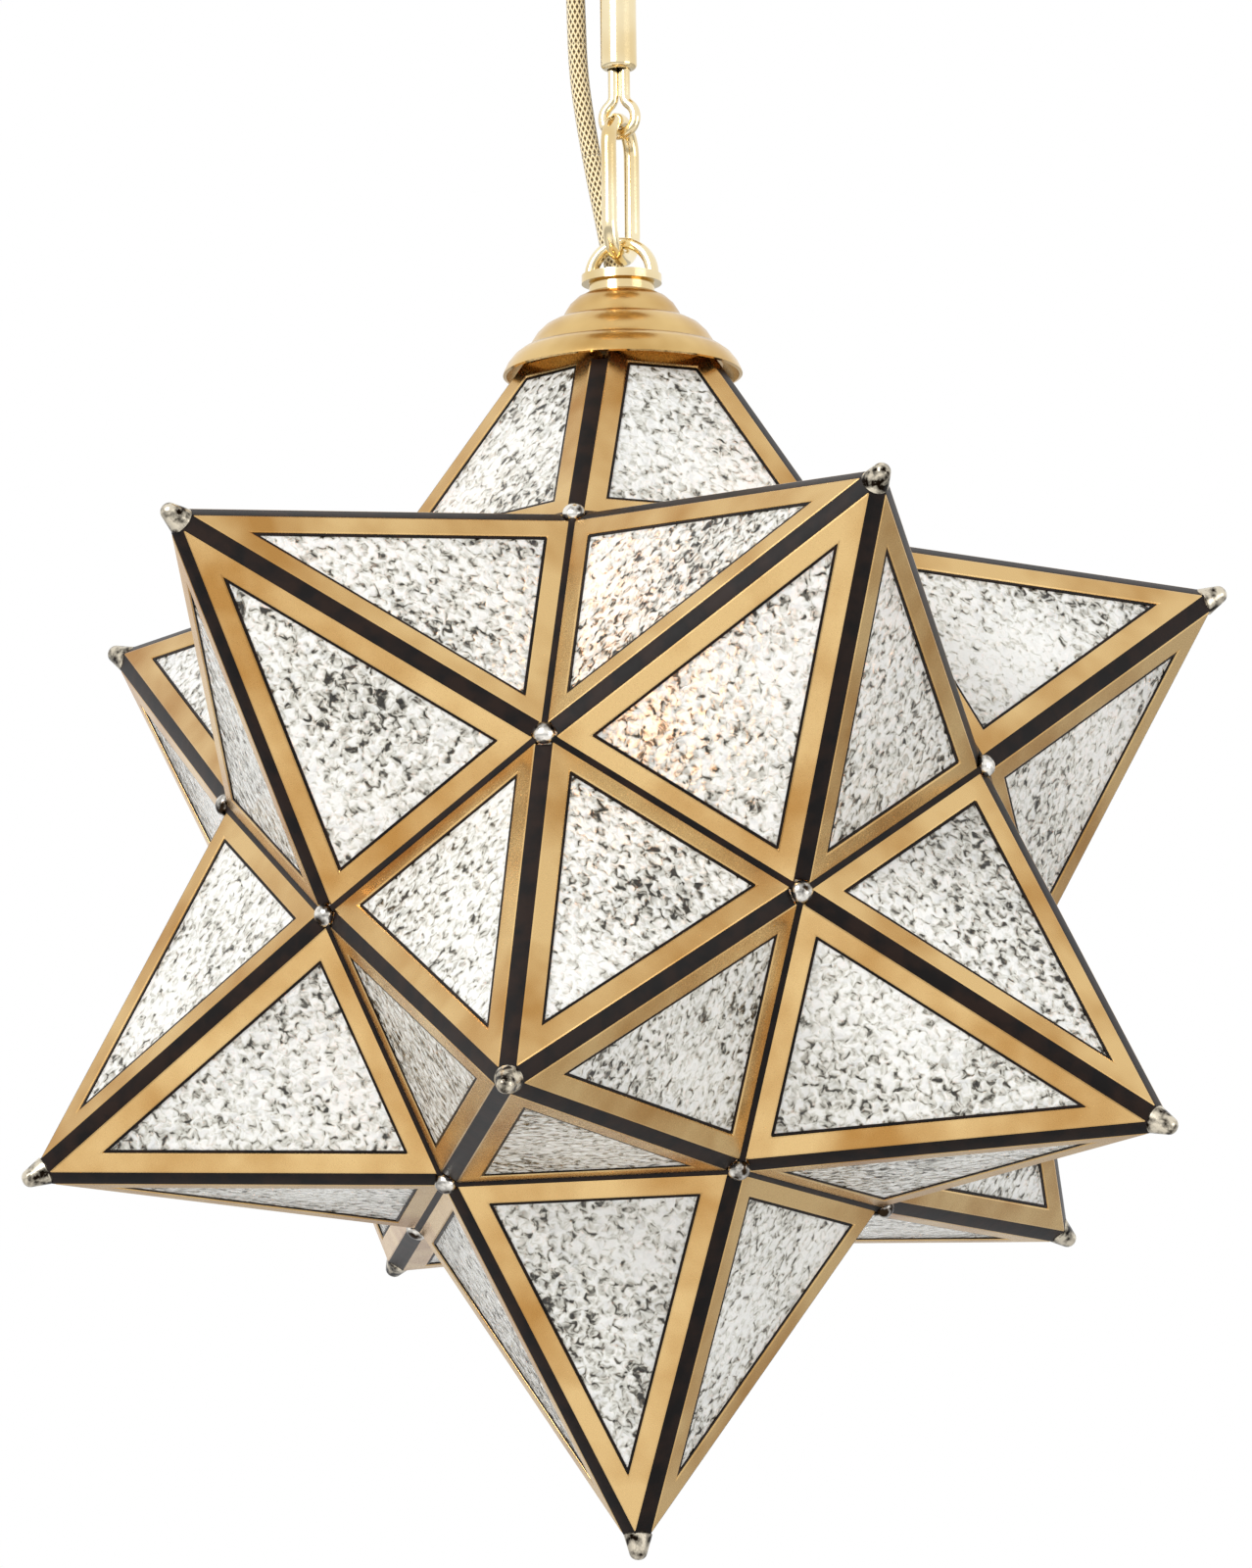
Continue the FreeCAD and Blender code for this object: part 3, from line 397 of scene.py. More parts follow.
# %% Dress the model's own pieces
def dress(material, *nodes):
    """Gives the material to CAD nodes, in place of their plain one."""
    for name in nodes:
        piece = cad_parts[name]
        if not piece.material_slots:
            piece.data.materials.append(material)
        for slot in piece.material_slots:
            slot.material = material


spikes = ["top_spike", "bottom_spike"]
for number in range(1, 6):
    spikes += [f"upper_spike_{number}", f"lower_spike_{number}"]
dress(pane_glass, *[f"{spike}_glass" for spike in spikes])
dress(fitting_brass, "canopy", "top_plate")
dress(bright_brass, "canopy_loop", "star_loop", "upper_ring", "lower_ring")
dress(bright_brass, "link_wire", "link_sleeve", "screw_shell", "centre_contact")
dress(zinc_steel, "crossbar", "crossbar_nut", "strap_nut", "cap_strap")
dress(phenolic, "lampholder_cap", "lampholder_shell")
dress(lamp_alloy, "lamp_base")
dress(lamp_glass, "lamp_glass")
dress(glowing, "lamp_filament")
print("model dressed:", len(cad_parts), "nodes")

# %% [markdown]
# ## The star's ridges, creases and corners
# Twelve spikes stand on the corners of an icosahedron: two on the axis and two rings of five,
# the upper ring half a step on from the lower. Three neighbouring spikes share a valley corner,
# and a ridge runs from each valley corner to a tip. These directions place every frame, bead
# and band of solder.

# %% Spikes
AXIS_ANGLE = math.atan(2)
SLACK = 0.1


def spoke(azimuth, from_top):
    """A unit vector at azimuth, from_top away from +Z."""
    level = math.sin(from_top)
    return Vector((level * math.cos(azimuth), level * math.sin(azimuth), math.cos(from_top)))


def are_near(one, other):
    """Whether two spikes are neighbours."""
    return SLACK < one.angle(other) < AXIS_ANGLE + SLACK


axes = [Vector((0, 0, 1)), Vector((0, 0, -1))]
for k in range(5):
    azimuth = FRONT_TURN + math.radians(72 * k - 90)
    axes.append(spoke(azimuth, math.pi - AXIS_ANGLE))
    axes.append(spoke(azimuth + math.pi / 5, AXIS_ANGLE))
print(len(axes), "spikes,", round(math.degrees(AXIS_ANGLE), 1), "degrees apart")

# %% Valley corners
valleys = []
for a in axes:
    for b in [v for v in axes if are_near(a, v)]:
        for c in [v for v in axes if are_near(a, v) and are_near(b, v)]:
            valley = (a + b + c).normalized()
            if all(valley.angle(v) > SLACK for v in valleys):
                valleys.append(valley)
print(len(valleys), "valley corners")

# %% Panes round one spike
OWN_CORNERS = AXIS_ANGLE * 0.7  # more than to a spike's own corners, less than to the next


def corner_directions(axis):
    """The directions of a spike's five valley corners."""
    return [v for v in valleys if axis.angle(v) < OWN_CORNERS]


def corners_round(axis):
    """The five valley corners of a spike, anticlockwise as seen from outside."""
    near = corner_directions(axis)
    start = (near[0] - axis * near[0].dot(axis)).normalized()
    across = axis.cross(start)
    near.sort(key=lambda v: math.atan2(v.dot(across), v.dot(start)))
    return [v * VALLEY_RADIUS for v in near]


# %% Measure one pane
CAME_THICK = 0.0042
SEAM_GAP = 0.00008
TIP_CUT = 0.039

top_tip = axes[0] * TIP_RADIUS
top_corners = corners_round(axes[0])
pane_foot = (top_corners[0] + top_corners[1]) / 2
PANE_HALF = (top_corners[1] - top_corners[0]).length / 2
PANE_HEIGHT = (top_tip - pane_foot).length
HALF_TIP = math.atan(PANE_HALF / PANE_HEIGHT)
first_normal, last_normal = [
    (top_corners[k - 4] - top_corners[k]).cross(top_tip - top_corners[k]).normalized()
    for k in (0, 4)
]
HALF_RIDGE = (math.pi - first_normal.angle(last_normal)) / 2
RIDGE_OFFSET = CAME_THICK / math.tan(HALF_RIDGE) + SEAM_GAP / 2
print("pane", PANE_HALF * 2, "by", PANE_HEIGHT, "- ridge angle", math.degrees(HALF_RIDGE * 2))

# %% [markdown]
# ## Modelling by hand, in code
# Each new piece starts as a primitive and is shaped in edit mode. A helper opens the piece with
# only the wanted parts selected, because an operator acts on all that is selected. What repeats
# is modelled once, at the origin, and then copied to each of its places, so that all copies are
# the same.


# %% Selecting
def clear_selection():
    bpy.ops.object.select_all(action="DESELECT")


def pick(piece, kind, test):
    """Opens a piece in edit mode with only those parts selected that pass the test."""
    bpy.context.view_layer.objects.active = piece
    bpy.ops.object.mode_set(mode="EDIT")
    bpy.ops.mesh.select_mode(type=kind)
    bpy.ops.mesh.select_all(action="DESELECT")
    mesh = bmesh.from_edit_mesh(piece.data)
    for part in {"VERT": mesh.verts, "EDGE": mesh.edges, "FACE": mesh.faces}[kind]:
        if test(part):
            part.select_set(True)
    bmesh.update_edit_mesh(piece.data)


def close_edit():
    bpy.ops.object.mode_set(mode="OBJECT")


# %% Placing and copying
def basis(x, y, z, origin):
    """The matrix that takes the axes to x, y and z, and the origin to origin."""
    matrix = Matrix((x, y, z)).transposed().to_4x4()
    return Matrix.Translation(origin) @ matrix


def lay_copies(name, model, places, material, slot, *nodes):
    """Copies the model to its places, joins the copies and hides the CAD nodes whose place they
    take.
    """
    clear_selection()
    copies = []
    for place in places:
        copy = model.copy()
        copy.data = model.data.copy()
        copy.data.transform(Matrix.Translation(star_centre) @ place)
        bpy.context.collection.objects.link(copy)
        copy.select_set(True)
        copies.append(copy)
    bpy.context.view_layer.objects.active = copies[0]
    bpy.ops.object.join()
    piece = bpy.context.view_layer.objects.active
    bpy.data.objects.remove(model)
    piece.name = piece.data.name = name
    piece.data.materials.clear()
    piece.data.materials.append(material)
    if nodes:
        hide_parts(*nodes)
    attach(piece, "star")
    print(name, "laid", len(places), "times,", len(piece.data.polygons), "faces")


# %% [markdown]
# ## Came frames
# Each pane is framed by three lengths of brass came, mitred at the corners. Seen from outside a
# frame is a flat ring with a crisp outer edge that catches the light. So a plane is shaped to
# the pane, inset by the came's face and emptied, Solidify gives it the came's thickness, and a
# small bevel breaks its edges. The five panes under the cap are cut short and have four sides.


# %% A ring in a pane's plane
def pane_ring(foot, tip, top, width, thickness, depth):
    """A ring whose outline stands on y = foot, aims at y = tip and is cut off at y = top."""
    foot_half = (tip - foot) * math.tan(HALF_TIP)
    top_half = (tip - top) * math.tan(HALF_TIP)
    clear_selection()
    bpy.ops.mesh.primitive_plane_add(size=1, location=(0, (top + foot) / 2, -depth))
    piece = bpy.context.object
    piece.scale = (foot_half * 2, top - foot, 1)
    bpy.ops.object.transform_apply(location=True, rotation=True, scale=True)
    pick(piece, "VERT", lambda v: v.co.y > (top + foot) / 2)
    bpy.ops.transform.resize(value=(top_half / foot_half, 1, 1))
    bpy.ops.mesh.select_all(action="SELECT")
    bpy.ops.mesh.remove_doubles(threshold=0.00001)
    bpy.ops.mesh.inset(thickness=width)
    bpy.ops.mesh.delete(type="FACE")
    close_edit()
    solid = piece.modifiers.new("thickness", "SOLIDIFY")
    solid.thickness = thickness
    solid.offset = -1
    bpy.ops.object.modifier_apply(modifier=solid.name)
    return piece


def pane_places(spike_axes):
    """Where each pane of these spikes lies: its foot on X, its tip towards +Y."""
    found = []
    for axis in spike_axes:
        ring = corners_round(axis)
        for k, left in enumerate(ring):
            right = ring[k - 4]
            x = (right - left).normalized()
            y = (axis * TIP_RADIUS - (left + right) / 2).normalized()
            found.append(basis(x, y, x.cross(y), (left + right) / 2))
    return found


# %% A frame of came
CREASE_HALF = 0.00045
FACE_WIDTH = 0.0055
EDGE_BREAK = 0.0005
EDGE_SHARPNESS = math.radians(60)
HAIR = 0.0000001  # a triangle is a frame cut off this far below its tip

outer_tip = PANE_HEIGHT - RIDGE_OFFSET / math.sin(HALF_TIP)
outer_cut = PANE_HEIGHT * (1 - TIP_CUT / (TIP_RADIUS - top_corners[0].z))


def came_frame(top):
    """A frame of came, its edges broken so that they catch the light."""
    piece = pane_ring(CREASE_HALF, outer_tip, top, FACE_WIDTH, CAME_THICK, 0)
    clear_selection()
    piece.select_set(True)
    edges = piece.modifiers.new("edges", "BEVEL")
    edges.width = EDGE_BREAK
    edges.segments = 2
    edges.limit_method = "ANGLE"
    edges.angle_limit = EDGE_SHARPNESS
    bpy.context.view_layer.objects.active = piece
    bpy.ops.object.modifier_apply(modifier=edges.name)
    return piece


# %% Lay the frames
lay_copies(
    "came_frames",
    came_frame(outer_tip - HAIR),
    pane_places(axes[1:]),
    came_brass,
    "came_brass",
    *[f"{spike}_frame" for spike in spikes if spike != "top_spike"],
)
lay_copies(
    "cut_came_frames",
    came_frame(outer_cut),
    pane_places(axes[:1]),
    came_brass,
    "came_brass",
    "top_spike_frame",
)

# %% [markdown]
# ## Ridge bands
# Along each ridge two lengths of came meet at their outer edges. Solder is run into the groove
# between them and painted with black patina, so a dark, slightly crowned band separates the
# two bright faces. A cube stretched to a bar, with its two upper edges bevelled round, gives
# that. It is one unit long, so that each copy can be stretched to its own ridge.

# %% Model a bar of solder
BAR_DEPTH = 0.0011
BAR_CROWN = 0.0002
CROWN_BEVEL = BAR_CROWN * 2.6


def solder_bar(half_width):
    """A bar from y = 0 to y = 1 whose edges lie on z = 0 and whose top is crowned."""
    clear_selection()
    bpy.ops.mesh.primitive_cube_add(size=1, location=(0, 0.5, BAR_CROWN - BAR_DEPTH / 2))
    bar = bpy.context.object
    bar.scale = (half_width * 2, 1, BAR_DEPTH)
    bpy.ops.object.transform_apply(location=True, rotation=True, scale=True)

    def is_long_upper_edge(edge):
        place = (edge.verts[0].co + edge.verts[1].co) / 2
        is_long = abs(place.x) > half_width / 2 and abs(place.y - 0.5) < SLACK
        return is_long and place.z > 0

    pick(bar, "EDGE", is_long_upper_edge)
    bpy.ops.mesh.bevel(offset=CROWN_BEVEL, offset_type="WIDTH", segments=4, affect="EDGES")
    close_edit()
    bpy.ops.object.shade_smooth_by_angle(angle=math.radians(40))
    return bar


# %% Lay the bands along the ridges
FROM_VALLEY = 0.0026
FROM_TIP = 0.0068
BAND_LAP = 0.00028  # how far the solder laps on to the came's broken edge
BAND_REACH = RIDGE_OFFSET + BAND_LAP
BAND_HALF = BAND_REACH * math.sin(HALF_RIDGE)
BAND_LEVEL = -BAND_REACH * math.cos(HALF_RIDGE) - BAR_CROWN


def band_place(axis, corner):
    """Where a spike's band lies that starts at this corner, stretched to its ridge."""
    tip = axis * TIP_RADIUS
    ridge = (tip - corner).length
    way = (tip - corner).normalized()
    out = (corner - axis * corner.dot(axis)).normalized()
    out = (out - way * out.dot(way)).normalized()
    run = ridge - FROM_VALLEY - FROM_TIP
    if axis == axes[0]:
        run = ridge * (1 - TIP_CUT / (tip.z - corner.z)) - FROM_VALLEY - CAME_THICK
    start = corner + way * FROM_VALLEY + out * BAND_LEVEL
    return basis(way.cross(out), way, out, start) @ Matrix.Diagonal((1, run, 1, 1))


band = solder_bar(BAND_HALF)
places = [band_place(axis, corner) for axis in axes for corner in corners_round(axis)]
lay_copies("ridge_band", band, places, black_solder, "solder", "ridge_solder")
print("ridge band", round(BAND_HALF * 2000, 2), "mm wide")

# %% [markdown]
# ## Crease seams
# Where two spikes meet, their feet leave a narrow gap, which is filled with solder too and
# blackened. It is the same bar, only narrower, and runs from one valley corner to the next. Its
# top is level with a line a millimetre up each frame, so it fills the crease and laps on to
# both sides, as run solder does.

# %% Lay a seam along each crease
CREASE_REACH = 0.00115

places = []  # every crease is alike, so the last one's width serves them all
for i, a in enumerate(axes):
    for b in [v for v in axes[i + 1 :] if are_near(a, v)]:
        left, right = [v * VALLEY_RADIUS for v in corner_directions(a) if v in corner_directions(b)]
        way = (right - left).normalized()
        out = (a + b).normalized()
        side = way.cross(out)
        rise = (a * TIP_RADIUS - (left + right) / 2).normalized()
        seam_half = CREASE_REACH * abs(rise.dot(side))
        start = left + way * FROM_VALLEY + out * (CREASE_REACH * rise.dot(out) - BAR_CROWN)
        run = (right - left).length - 2 * FROM_VALLEY
        places.append(basis(side, way, out, start) @ Matrix.Diagonal((1, run, 1, 1)))
seam = solder_bar(seam_half)
lay_copies("crease_seam", seam, places, black_solder, "solder", "crease_solder")

# %% [markdown]
# ## Valley beads
# Where three spikes meet, a drop of tin solder holds six lengths of came. Molten tin pulls
# itself into a smooth dome. A sphere, cut off below and pressed a little flat, is that dome. The
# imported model's own beads say how far out it sits.

# %% Model and lay the valley beads
BEAD_RADIUS = 0.0029
BEAD_CUT = 0.6
BEAD_FLATNESS = 0.82

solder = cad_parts["valley_solder"]
farthest = max((solder.matrix_world @ v.co - star_centre).length for v in solder.data.vertices)
seat = farthest - BEAD_RADIUS * BEAD_FLATNESS

clear_selection()
bpy.ops.mesh.primitive_uv_sphere_add(segments=20, ring_count=12, radius=BEAD_RADIUS)
bead = bpy.context.object
pick(bead, "FACE", lambda f: True)
foot = (0, 0, -BEAD_RADIUS * BEAD_CUT)
bpy.ops.mesh.bisect(plane_co=foot, plane_no=(0, 0, 1), clear_inner=True, use_fill=True)
bpy.ops.mesh.select_all(action="SELECT")
bpy.ops.transform.resize(value=(1, 1, BEAD_FLATNESS))
close_edit()
bpy.ops.object.shade_smooth_by_angle(angle=math.radians(50))
places = [basis(*v.to_track_quat("Z", "Y").to_matrix().transposed(), v * seat) for v in valleys]
lay_copies("valley_bead", bead, places, wiped_solder, "solder", "valley_solder")

# %% [markdown]
# ## Tip knobs
# At a tip five ridges run together, and the solder was built up into a small blunt knob. That
# is a cone with its rim rounded off. An inset draws its underside out to a short root, which
# sits between the came's ends.

# %% Model and lay the tip knobs
KNOB_FOOT = 0.0037
KNOB_TOP = 0.0018
KNOB_HEIGHT = 0.0064
KNOB_TIP = TIP_RADIUS - 0.0003
KNOB_ROUNDING = KNOB_TOP * 0.8
RIM_Z = KNOB_TIP - KNOB_HEIGHT / 4

clear_selection()
bpy.ops.mesh.primitive_cone_add(
    vertices=20,
    radius1=KNOB_FOOT,
    radius2=KNOB_TOP,
    depth=KNOB_HEIGHT,
    location=(0, 0, KNOB_TIP - KNOB_HEIGHT / 2),
)
knob = bpy.context.object
bpy.ops.object.transform_apply(location=True, rotation=True, scale=True)
pick(knob, "EDGE", lambda e: all(v.co.z > RIM_Z for v in e.verts))
bpy.ops.mesh.bevel(offset=KNOB_ROUNDING, segments=4, profile=0.5, affect="EDGES")
close_edit()
pick(knob, "FACE", lambda f: f.normal.z < -0.9)
bpy.ops.mesh.inset(thickness=KNOB_FOOT / 3, depth=KNOB_FOOT / 2)
close_edit()
bpy.ops.object.shade_smooth_by_angle(angle=math.radians(50))
places = [a.to_track_quat("Z", "Y").to_matrix().to_4x4() for a in axes[1:]]
lay_copies("tip_knob", knob, places, knob_solder, "solder", "tip_solder")

# %% [markdown]
# ## Putty lines
# A pane is bedded in its came with dark putty, and a thin line of it shows all round the
# glass. The ring that made the frames makes it too, narrow and thin.

# %% Model and lay the putty
PUTTY_WIDTH = 0.0006
PUTTY_THICK = 0.0004
PUTTY_DEPTH = 0.00025

putty_foot = CREASE_HALF + FACE_WIDTH
putty_tip = PANE_HEIGHT - (RIDGE_OFFSET + FACE_WIDTH) / math.sin(HALF_TIP)
putty_cut = outer_cut - FACE_WIDTH
sizes = (PUTTY_WIDTH, PUTTY_THICK, PUTTY_DEPTH)
putty = pane_ring(putty_foot, putty_tip, putty_tip - HAIR, *sizes)
lay_copies("pane_putty", putty, pane_places(axes[1:]), black_solder, "solder")
cut_putty = pane_ring(putty_foot, putty_tip, putty_cut, *sizes)
lay_copies("cut_pane_putty", cut_putty, pane_places(axes[:1]), black_solder, "solder")

# %% [markdown]
# ## Stepped cap
# The cap is brass sheet, spun over a form on a lathe. It has a dome and two lower tiers, with a
# crisp step where each begins. That is what Blender's spin does too: one vertex is extruded
# along half of the cap's outline, the outline is spun once round, and Solidify gives the sheet.

# %% Draw the cap's outline
CAP_OUTLINE_MM = [  # from the axis, and down from the top
    (5.8, 0), (9.0, 0), (11.6, 1.3), (13.6, 3.2), (14.9, 5.3), (15.5, 7.2), (15.9, 7.6),
    (18.0, 7.7), (20.2, 8.9), (22.2, 10.9), (23.6, 13.1), (24.2, 14.6), (24.6, 15.0),
    (26.2, 15.2), (28.2, 16.7), (29.9, 18.9), (30.8, 20.8), (31.0, 21.5),
]
CAP_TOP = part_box("cap")[1][2]

clear_selection()
bpy.ops.mesh.primitive_plane_add(size=0.001)
cap = bpy.context.object
pick(cap, "VERT", lambda v: True)
bpy.ops.mesh.merge(type="CENTER")
reached = Vector((0, 0, 0))
for count, (radius, drop) in enumerate(CAP_OUTLINE_MM):
    point = Vector((radius / 1000, 0, CAP_TOP - drop / 1000))
    step = {"value": tuple(point - reached)}
    if count:
        bpy.ops.mesh.extrude_vertices_move(TRANSFORM_OT_translate=step)
    else:
        bpy.ops.transform.translate(**step)
    reached = point
print("outline of", len(CAP_OUTLINE_MM), "points drawn, down to", round(reached.z, 4))

# %% Spin the cap and give it its sheet
CAP_SHEET = 0.0009
CAP_STEPS = 72

bpy.ops.mesh.select_all(action="SELECT")
bpy.ops.mesh.spin(steps=CAP_STEPS, angle=2 * math.pi, center=(0, 0, 0), axis=(0, 0, 1))
bpy.ops.mesh.select_all(action="SELECT")
bpy.ops.mesh.remove_doubles(threshold=0.000005)
bpy.ops.mesh.normals_make_consistent(inside=False)
close_edit()
top_face = max(cap.data.polygons, key=lambda f: f.center.z)
if top_face.normal.z < 0:
    cap.data.flip_normals()
sheet = cap.modifiers.new("sheet", "SOLIDIFY")
sheet.thickness = CAP_SHEET
sheet.offset = -1
bpy.ops.object.modifier_apply(modifier=sheet.name)
clear_selection()
cap.select_set(True)
bpy.ops.object.shade_smooth_by_angle(angle=math.radians(32))
cap.name = cap.data.name = "spun_cap"
cap.data.materials.append(fitting_brass)
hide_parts("cap")
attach(cap, "star")
print("cap spun,", len(cap.data.polygons), "faces")

# %% [markdown]
# ## Textile cord
# The cord leaves the star's loop through a slanted hole, climbs beside the chain and enters the
# canopy's loop. It is braided cotton over two wires, 5 mm thick. A NURBS spline that the
# route's points lead is the smooth line that a cord takes, and a tube is laid along it.
# The chain has four joints, so the cord is four tubes end to end, and each runs across one.

# %% The cord's route
HOLE_SINK = 0.0023
HOLE_LEAN = Vector((-2.4, 3.2, 4.5)) / 1000
LOWER_ROUTE = [  # up from the star's loop
    (-0.0056, 0.00747, 0.0082),
    (-0.0072, 0.0070, 0.0180),
    (-0.0090, 0.0058, 0.0290),
    (-0.0112, 0.0050, 0.0430),
    (-0.0132, 0.0046, 0.0580),
    (-0.0132, 0.0036, 0.0740),
]
UPPER_ROUTE = [  # down from the canopy's loop
    (-0.0056, -0.00747, 0.0082),
    (-0.0076, -0.0064, 0.0190),
    (-0.0098, -0.0040, 0.0320),
    (-0.0118, -0.0012, 0.0460),
]

mouth = HOLE_LEAN * ((HOLE_SINK + LOOP_DISC) / HOLE_LEAN.z)
route = [Vector((mouth.x, mouth.y, lower_plane + LOOP_DISC))]
route += [Vector((x, y, lower_plane + z)) for x, y, z in LOWER_ROUTE]
route += [Vector((x, y, upper_plane - z)) for x, y, z in reversed(UPPER_ROUTE)]
route.append(Vector((mouth.x, -mouth.y, upper_plane - LOOP_DISC)))
print("cord route of", len(route), "points")


# %% A spline along points
STEPS_PER_POINT = 14
CLOSE_TO_POINTS = 3  # the lowest order that is smooth, so it strays least from its points


def spline_points(points):
    """Points along the NURBS spline that has these as its control points."""
    curve = bpy.data.curves.new("route", "CURVE")
    curve.dimensions = "3D"
    curve.resolution_u = STEPS_PER_POINT
    spline = curve.splines.new("NURBS")
    spline.points.add(len(points) - 1)
    for point, place in zip(spline.points, points):
        point.co = (*place, 1)
    spline.order_u = CLOSE_TO_POINTS
    spline.use_endpoint_u = True
    holder = bpy.data.objects.new("route", curve)
    bpy.context.collection.objects.link(holder)
    mesh = bpy.data.meshes.new_from_object(holder)
    line = [v.co.copy() for v in mesh.vertices]
    bpy.data.objects.remove(holder)
    return line


# %% A tube along a line
SIDES = 24


def rings_along(mesh, line, radius):
    """Rings of vertices square to the line, each with the run so far in millimetres."""
    side = Vector((1, 0, 0))
    rings, run = [], 0.0
    for i, point in enumerate(line):
        way = (line[min(i + 1, len(line) - 1)] - line[max(i - 1, 0)]).normalized()
        side = (side - way * side.dot(way)).normalized()
        up = way.cross(side)
        run += (point - line[i - 1]).length if i else 0
        corners = []
        for k in range(SIDES):
            angle = 2 * math.pi * k / SIDES
            arm = side * math.cos(angle) + up * math.sin(angle)
            corners.append(mesh.verts.new(point + arm * radius))
        rings.append((corners, run * 1000))
    return rings


def tube(name, line, radius):
    """A closed tube along a line, with a UV map in turns round it and millimetres along it."""
    mesh = bmesh.new()
    uv = mesh.loops.layers.uv.new("UVMap")
    rings = rings_along(mesh, line, radius)
    for (low, low_run), (high, high_run) in zip(rings, rings[1:]):
        for k in range(SIDES):
            after = (k + 1) % SIDES
            face = mesh.faces.new((low[k], low[after], high[after], high[k]))
            face.smooth = True
            spots = ((k, low_run), (k + 1, low_run), (k + 1, high_run), (k, high_run))
            for loop, (step, along) in zip(face.loops, spots):
                loop[uv].uv = (step / SIDES, along)
    mesh.faces.new(list(reversed(rings[0][0])))
    mesh.faces.new(rings[-1][0])
    data = bpy.data.meshes.new(name)
    mesh.to_mesh(data)
    mesh.free()
    piece = bpy.data.objects.new(name, data)
    bpy.context.collection.objects.link(piece)
    return piece


# %% [markdown]
# ## Braided cotton
# The braid crosses two sets of yarns, one leaning left and one right. Yarns that are modelled
# one by one would be thousands of faces for what is barely seen, so waves on the tube's own UV
# map draw them: waves that lean the two ways and meet make the braid's diamonds. The yarns are
# gold, and the waves' height picks the shade: pale straw on each crest is painted highlight, and
# dark brown in the gaps between yarns is painted shade. A real yarn is about 0.5 mm wide, and the
# diamonds are drawn a little coarser so that they show.

# %% Braided cotton
YARNS_ROUND = 12
YARN_PITCH_MM = 2.6
YARN_RELIEF = 0.0004
# Gold cotton, painted pale straw on the yarn crests as highlight and dark brown in the gaps as
# shade.
YARN_GOLD_HIGHLIGHT_AND_SHADE = [(0.3, "#3A2A12"), (0.55, "#96783F"), (0.75, "#C9AF76"), (0.97, "#EDE0BA")]


def leaning_wave(tree, parts, lean):
    """A wave whose crests climb round the cord to one side: lean is 1 or -1."""
    turned = add(
        tree,
        "ShaderNodeMath",
        {"operation": "MULTIPLY"},
        _0=parts.outputs["X"],
        _1=lean * YARNS_ROUND * 2 * math.pi,
    )
    along = add(
        tree,
        "ShaderNodeMath",
        {"operation": "MULTIPLY_ADD"},
        _0=parts.outputs["Y"],
        _1=2 * math.pi / YARN_PITCH_MM,
        _2=turned.outputs[0],
    )
    return add(tree, "ShaderNodeMath", {"operation": "SINE"}, _0=along.outputs[0]).outputs[0]


def braided_cotton():
    material, tree, shader, _ = start_material("braided_cotton")
    uv = add(tree, "ShaderNodeUVMap", {"uv_map": "UVMap"}).outputs["UV"]
    parts = add(tree, "ShaderNodeSeparateXYZ", Vector=uv)
    left, right = leaning_wave(tree, parts, 1), leaning_wave(tree, parts, -1)
    weave = add(tree, "ShaderNodeMath", {"operation": "MAXIMUM"}, _0=left, _1=right)
    raised = add(tree, "ShaderNodeMapRange", Value=weave.outputs[0], From_Min=-1.0)
    level = raised.outputs["Result"]
    bump = add(tree, "ShaderNodeBump", Height=level, Strength=0.8, Distance=YARN_RELIEF)
    # The weave's height picks the colour, so the crests carry painted highlight and the gaps
    # painted shade.
    colour = add(tree, "ShaderNodeValToRGB", stops=YARN_GOLD_HIGHLIGHT_AND_SHADE, Fac=level)
    feed(
        tree,
        shader,
        Base_Color=colour.outputs["Color"],
        Roughness=0.72,
        Sheen_Weight=0.35,
        Normal=bump.outputs["Normal"],
    )
    return material


cotton = braided_cotton()
dress(cotton, "cord_to_lampholder", "cord_to_ceiling")
print("cotton made")

# %% [markdown]
# ## Four stretches of cord
# Each stretch is listed with the body below it, the body above it and the joint between them,
# and is laid as a tube along its own points. Neighbours meet at the middle of a run between two
# of the route's points, where the spline leaves the one in the direction in which it enters the
# other.

# %% Lay the four stretches
first = (route[3] + route[4]) / 2
second = (route[5] + route[6]) / 2
third = (route[7] + route[8]) / 2
BODIES = ["star", "lower_ring", "sleeve_link", "upper_ring", "ceiling_set"]
STRETCHES = [
    ("cord_at_star", [*route[:4], first], "star_swing"),
    ("cord_by_ring", [first, *route[4:6], second], "lower_ring_swing"),
    ("cord_by_sleeve", [second, *route[6:8], third], "sleeve_link_swing"),
    ("cord_at_canopy", [third, *route[8:]], "upper_ring_swing"),
]
for (node, points, joint), below, above in zip(STRETCHES, BODIES, BODIES[1:]):
    line = spline_points(points)
    cord = tube(f"{node}_braid", line, CORD_DIAMETER / 2)
    cord.data.materials.append(cotton)
    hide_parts(node)
    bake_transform(cord)

# %% [markdown]
# ## Floor
# The floor is far below the lamp, pale and plain. It is only there to be seen, so it is lifted
# towards white in the camera's rays and lights nothing more than its own colour does.

# %% Floor
FLOOR_DROP = 0.9
FLOOR_SIZE = 30
MOTTLE_MM = 1000 / 3
FLOOR_LIFT = 0.34

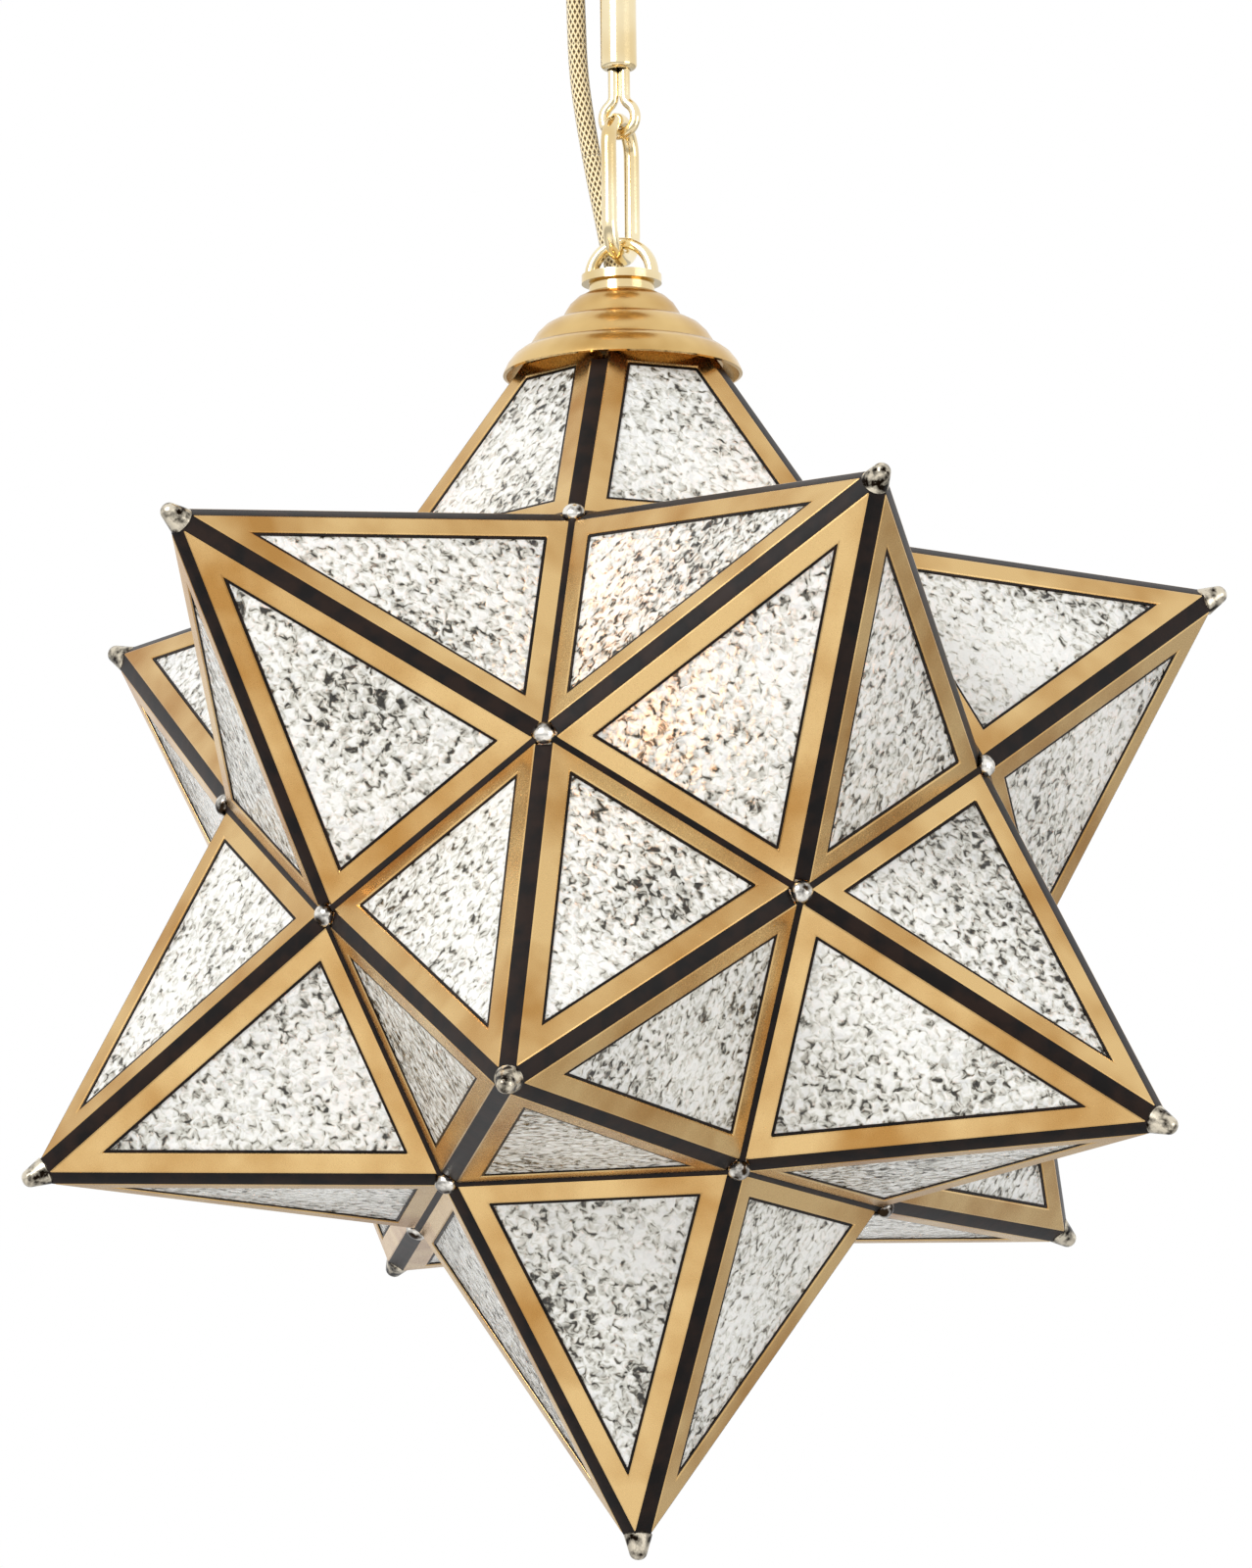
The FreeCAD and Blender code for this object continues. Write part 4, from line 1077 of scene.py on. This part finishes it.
clear_selection()
bpy.ops.mesh.primitive_plane_add(size=FLOOR_SIZE, location=(0, 0, star_centre.z - FLOOR_DROP))
floor = bpy.context.object
floor.name = "floor"
pale, tree, shader, place = start_material("pale_floor_paint")
mottle = add(tree, "ShaderNodeTexNoise", Vector=place, Scale=scale_for(MOTTLE_MM))
shades = [(0.3, "#F1F0EE"), (0.7, "#F7F6F4")]
colour = add(tree, "ShaderNodeValToRGB", stops=shades, Fac=mottle.outputs["Fac"])
to_camera = add(tree, "ShaderNodeLightPath").outputs["Is Camera Ray"]
lift = add(tree, "ShaderNodeMath", {"operation": "MULTIPLY"}, _0=to_camera, _1=FLOOR_LIFT)
feed(
    tree,
    shader,
    Base_Color=colour.outputs["Color"],
    Roughness=0.7,
    Emission_Color=linear("#FFFFFF"),
    Emission_Strength=lift.outputs[0],
)
floor.data.materials.append(pale)
print("floor laid at", round(star_centre.z - FLOOR_DROP, 3))

# %% [markdown]
# ## World and lamps
# The world is white to the camera, to reflections and through the glass, and gentler on the
# object, so nothing burns out. The kind of ray says which of the two it sees. One broad lamp
# from the upper left gives the came its bright and dark sides, and a weaker one from the right
# opens the shadows.

# %% World
world = bpy.data.worlds.new("studio")
world.use_nodes = True
bpy.context.scene.world = world
tree = world.node_tree
path = add(tree, "ShaderNodeLightPath")
seen = path.outputs["Is Camera Ray"]
for kind in ("Is Transmission Ray", "Is Glossy Ray"):
    either = add(
        tree, "ShaderNodeMath", {"operation": "MAXIMUM"}, _0=seen, _1=path.outputs[kind]
    )
    seen = either.outputs[0]
soft = tree.nodes["Background"]
feed(tree, soft, Color=linear("#F4F6FA"), Strength=0.62)
white = add(tree, "ShaderNodeBackground", Color=linear("#FFFFFF"), Strength=1.0)
both = add(tree, "ShaderNodeMixShader", _0=seen, _1=soft.outputs[0], _2=white.outputs[0])
feed(tree, tree.nodes["World Output"], Surface=both.outputs[0])
print("world set")

# %% Lamps
LAMP_DISTANCE = 2.2


def area_lamp(name, direction, size, power):
    """A square lamp on the camera's side that faces the star."""
    data = bpy.data.lights.new(name, "AREA")
    data.size = size
    data.energy = power
    lamp = bpy.data.objects.new(name, data)
    away = (turn @ Vector(direction)).normalized()
    lamp.location = star_centre + away * LAMP_DISTANCE
    lamp.rotation_euler = away.to_track_quat("Z", "Y").to_euler()
    bpy.context.collection.objects.link(lamp)


area_lamp("key", (-0.7, 0.8, 0.9), size=1.0, power=42)
area_lamp("fill", (0.9, 0.1, 0.6), size=1.4, power=12)
bpy.context.scene.view_settings.view_transform = "Standard"
print("lamps set")
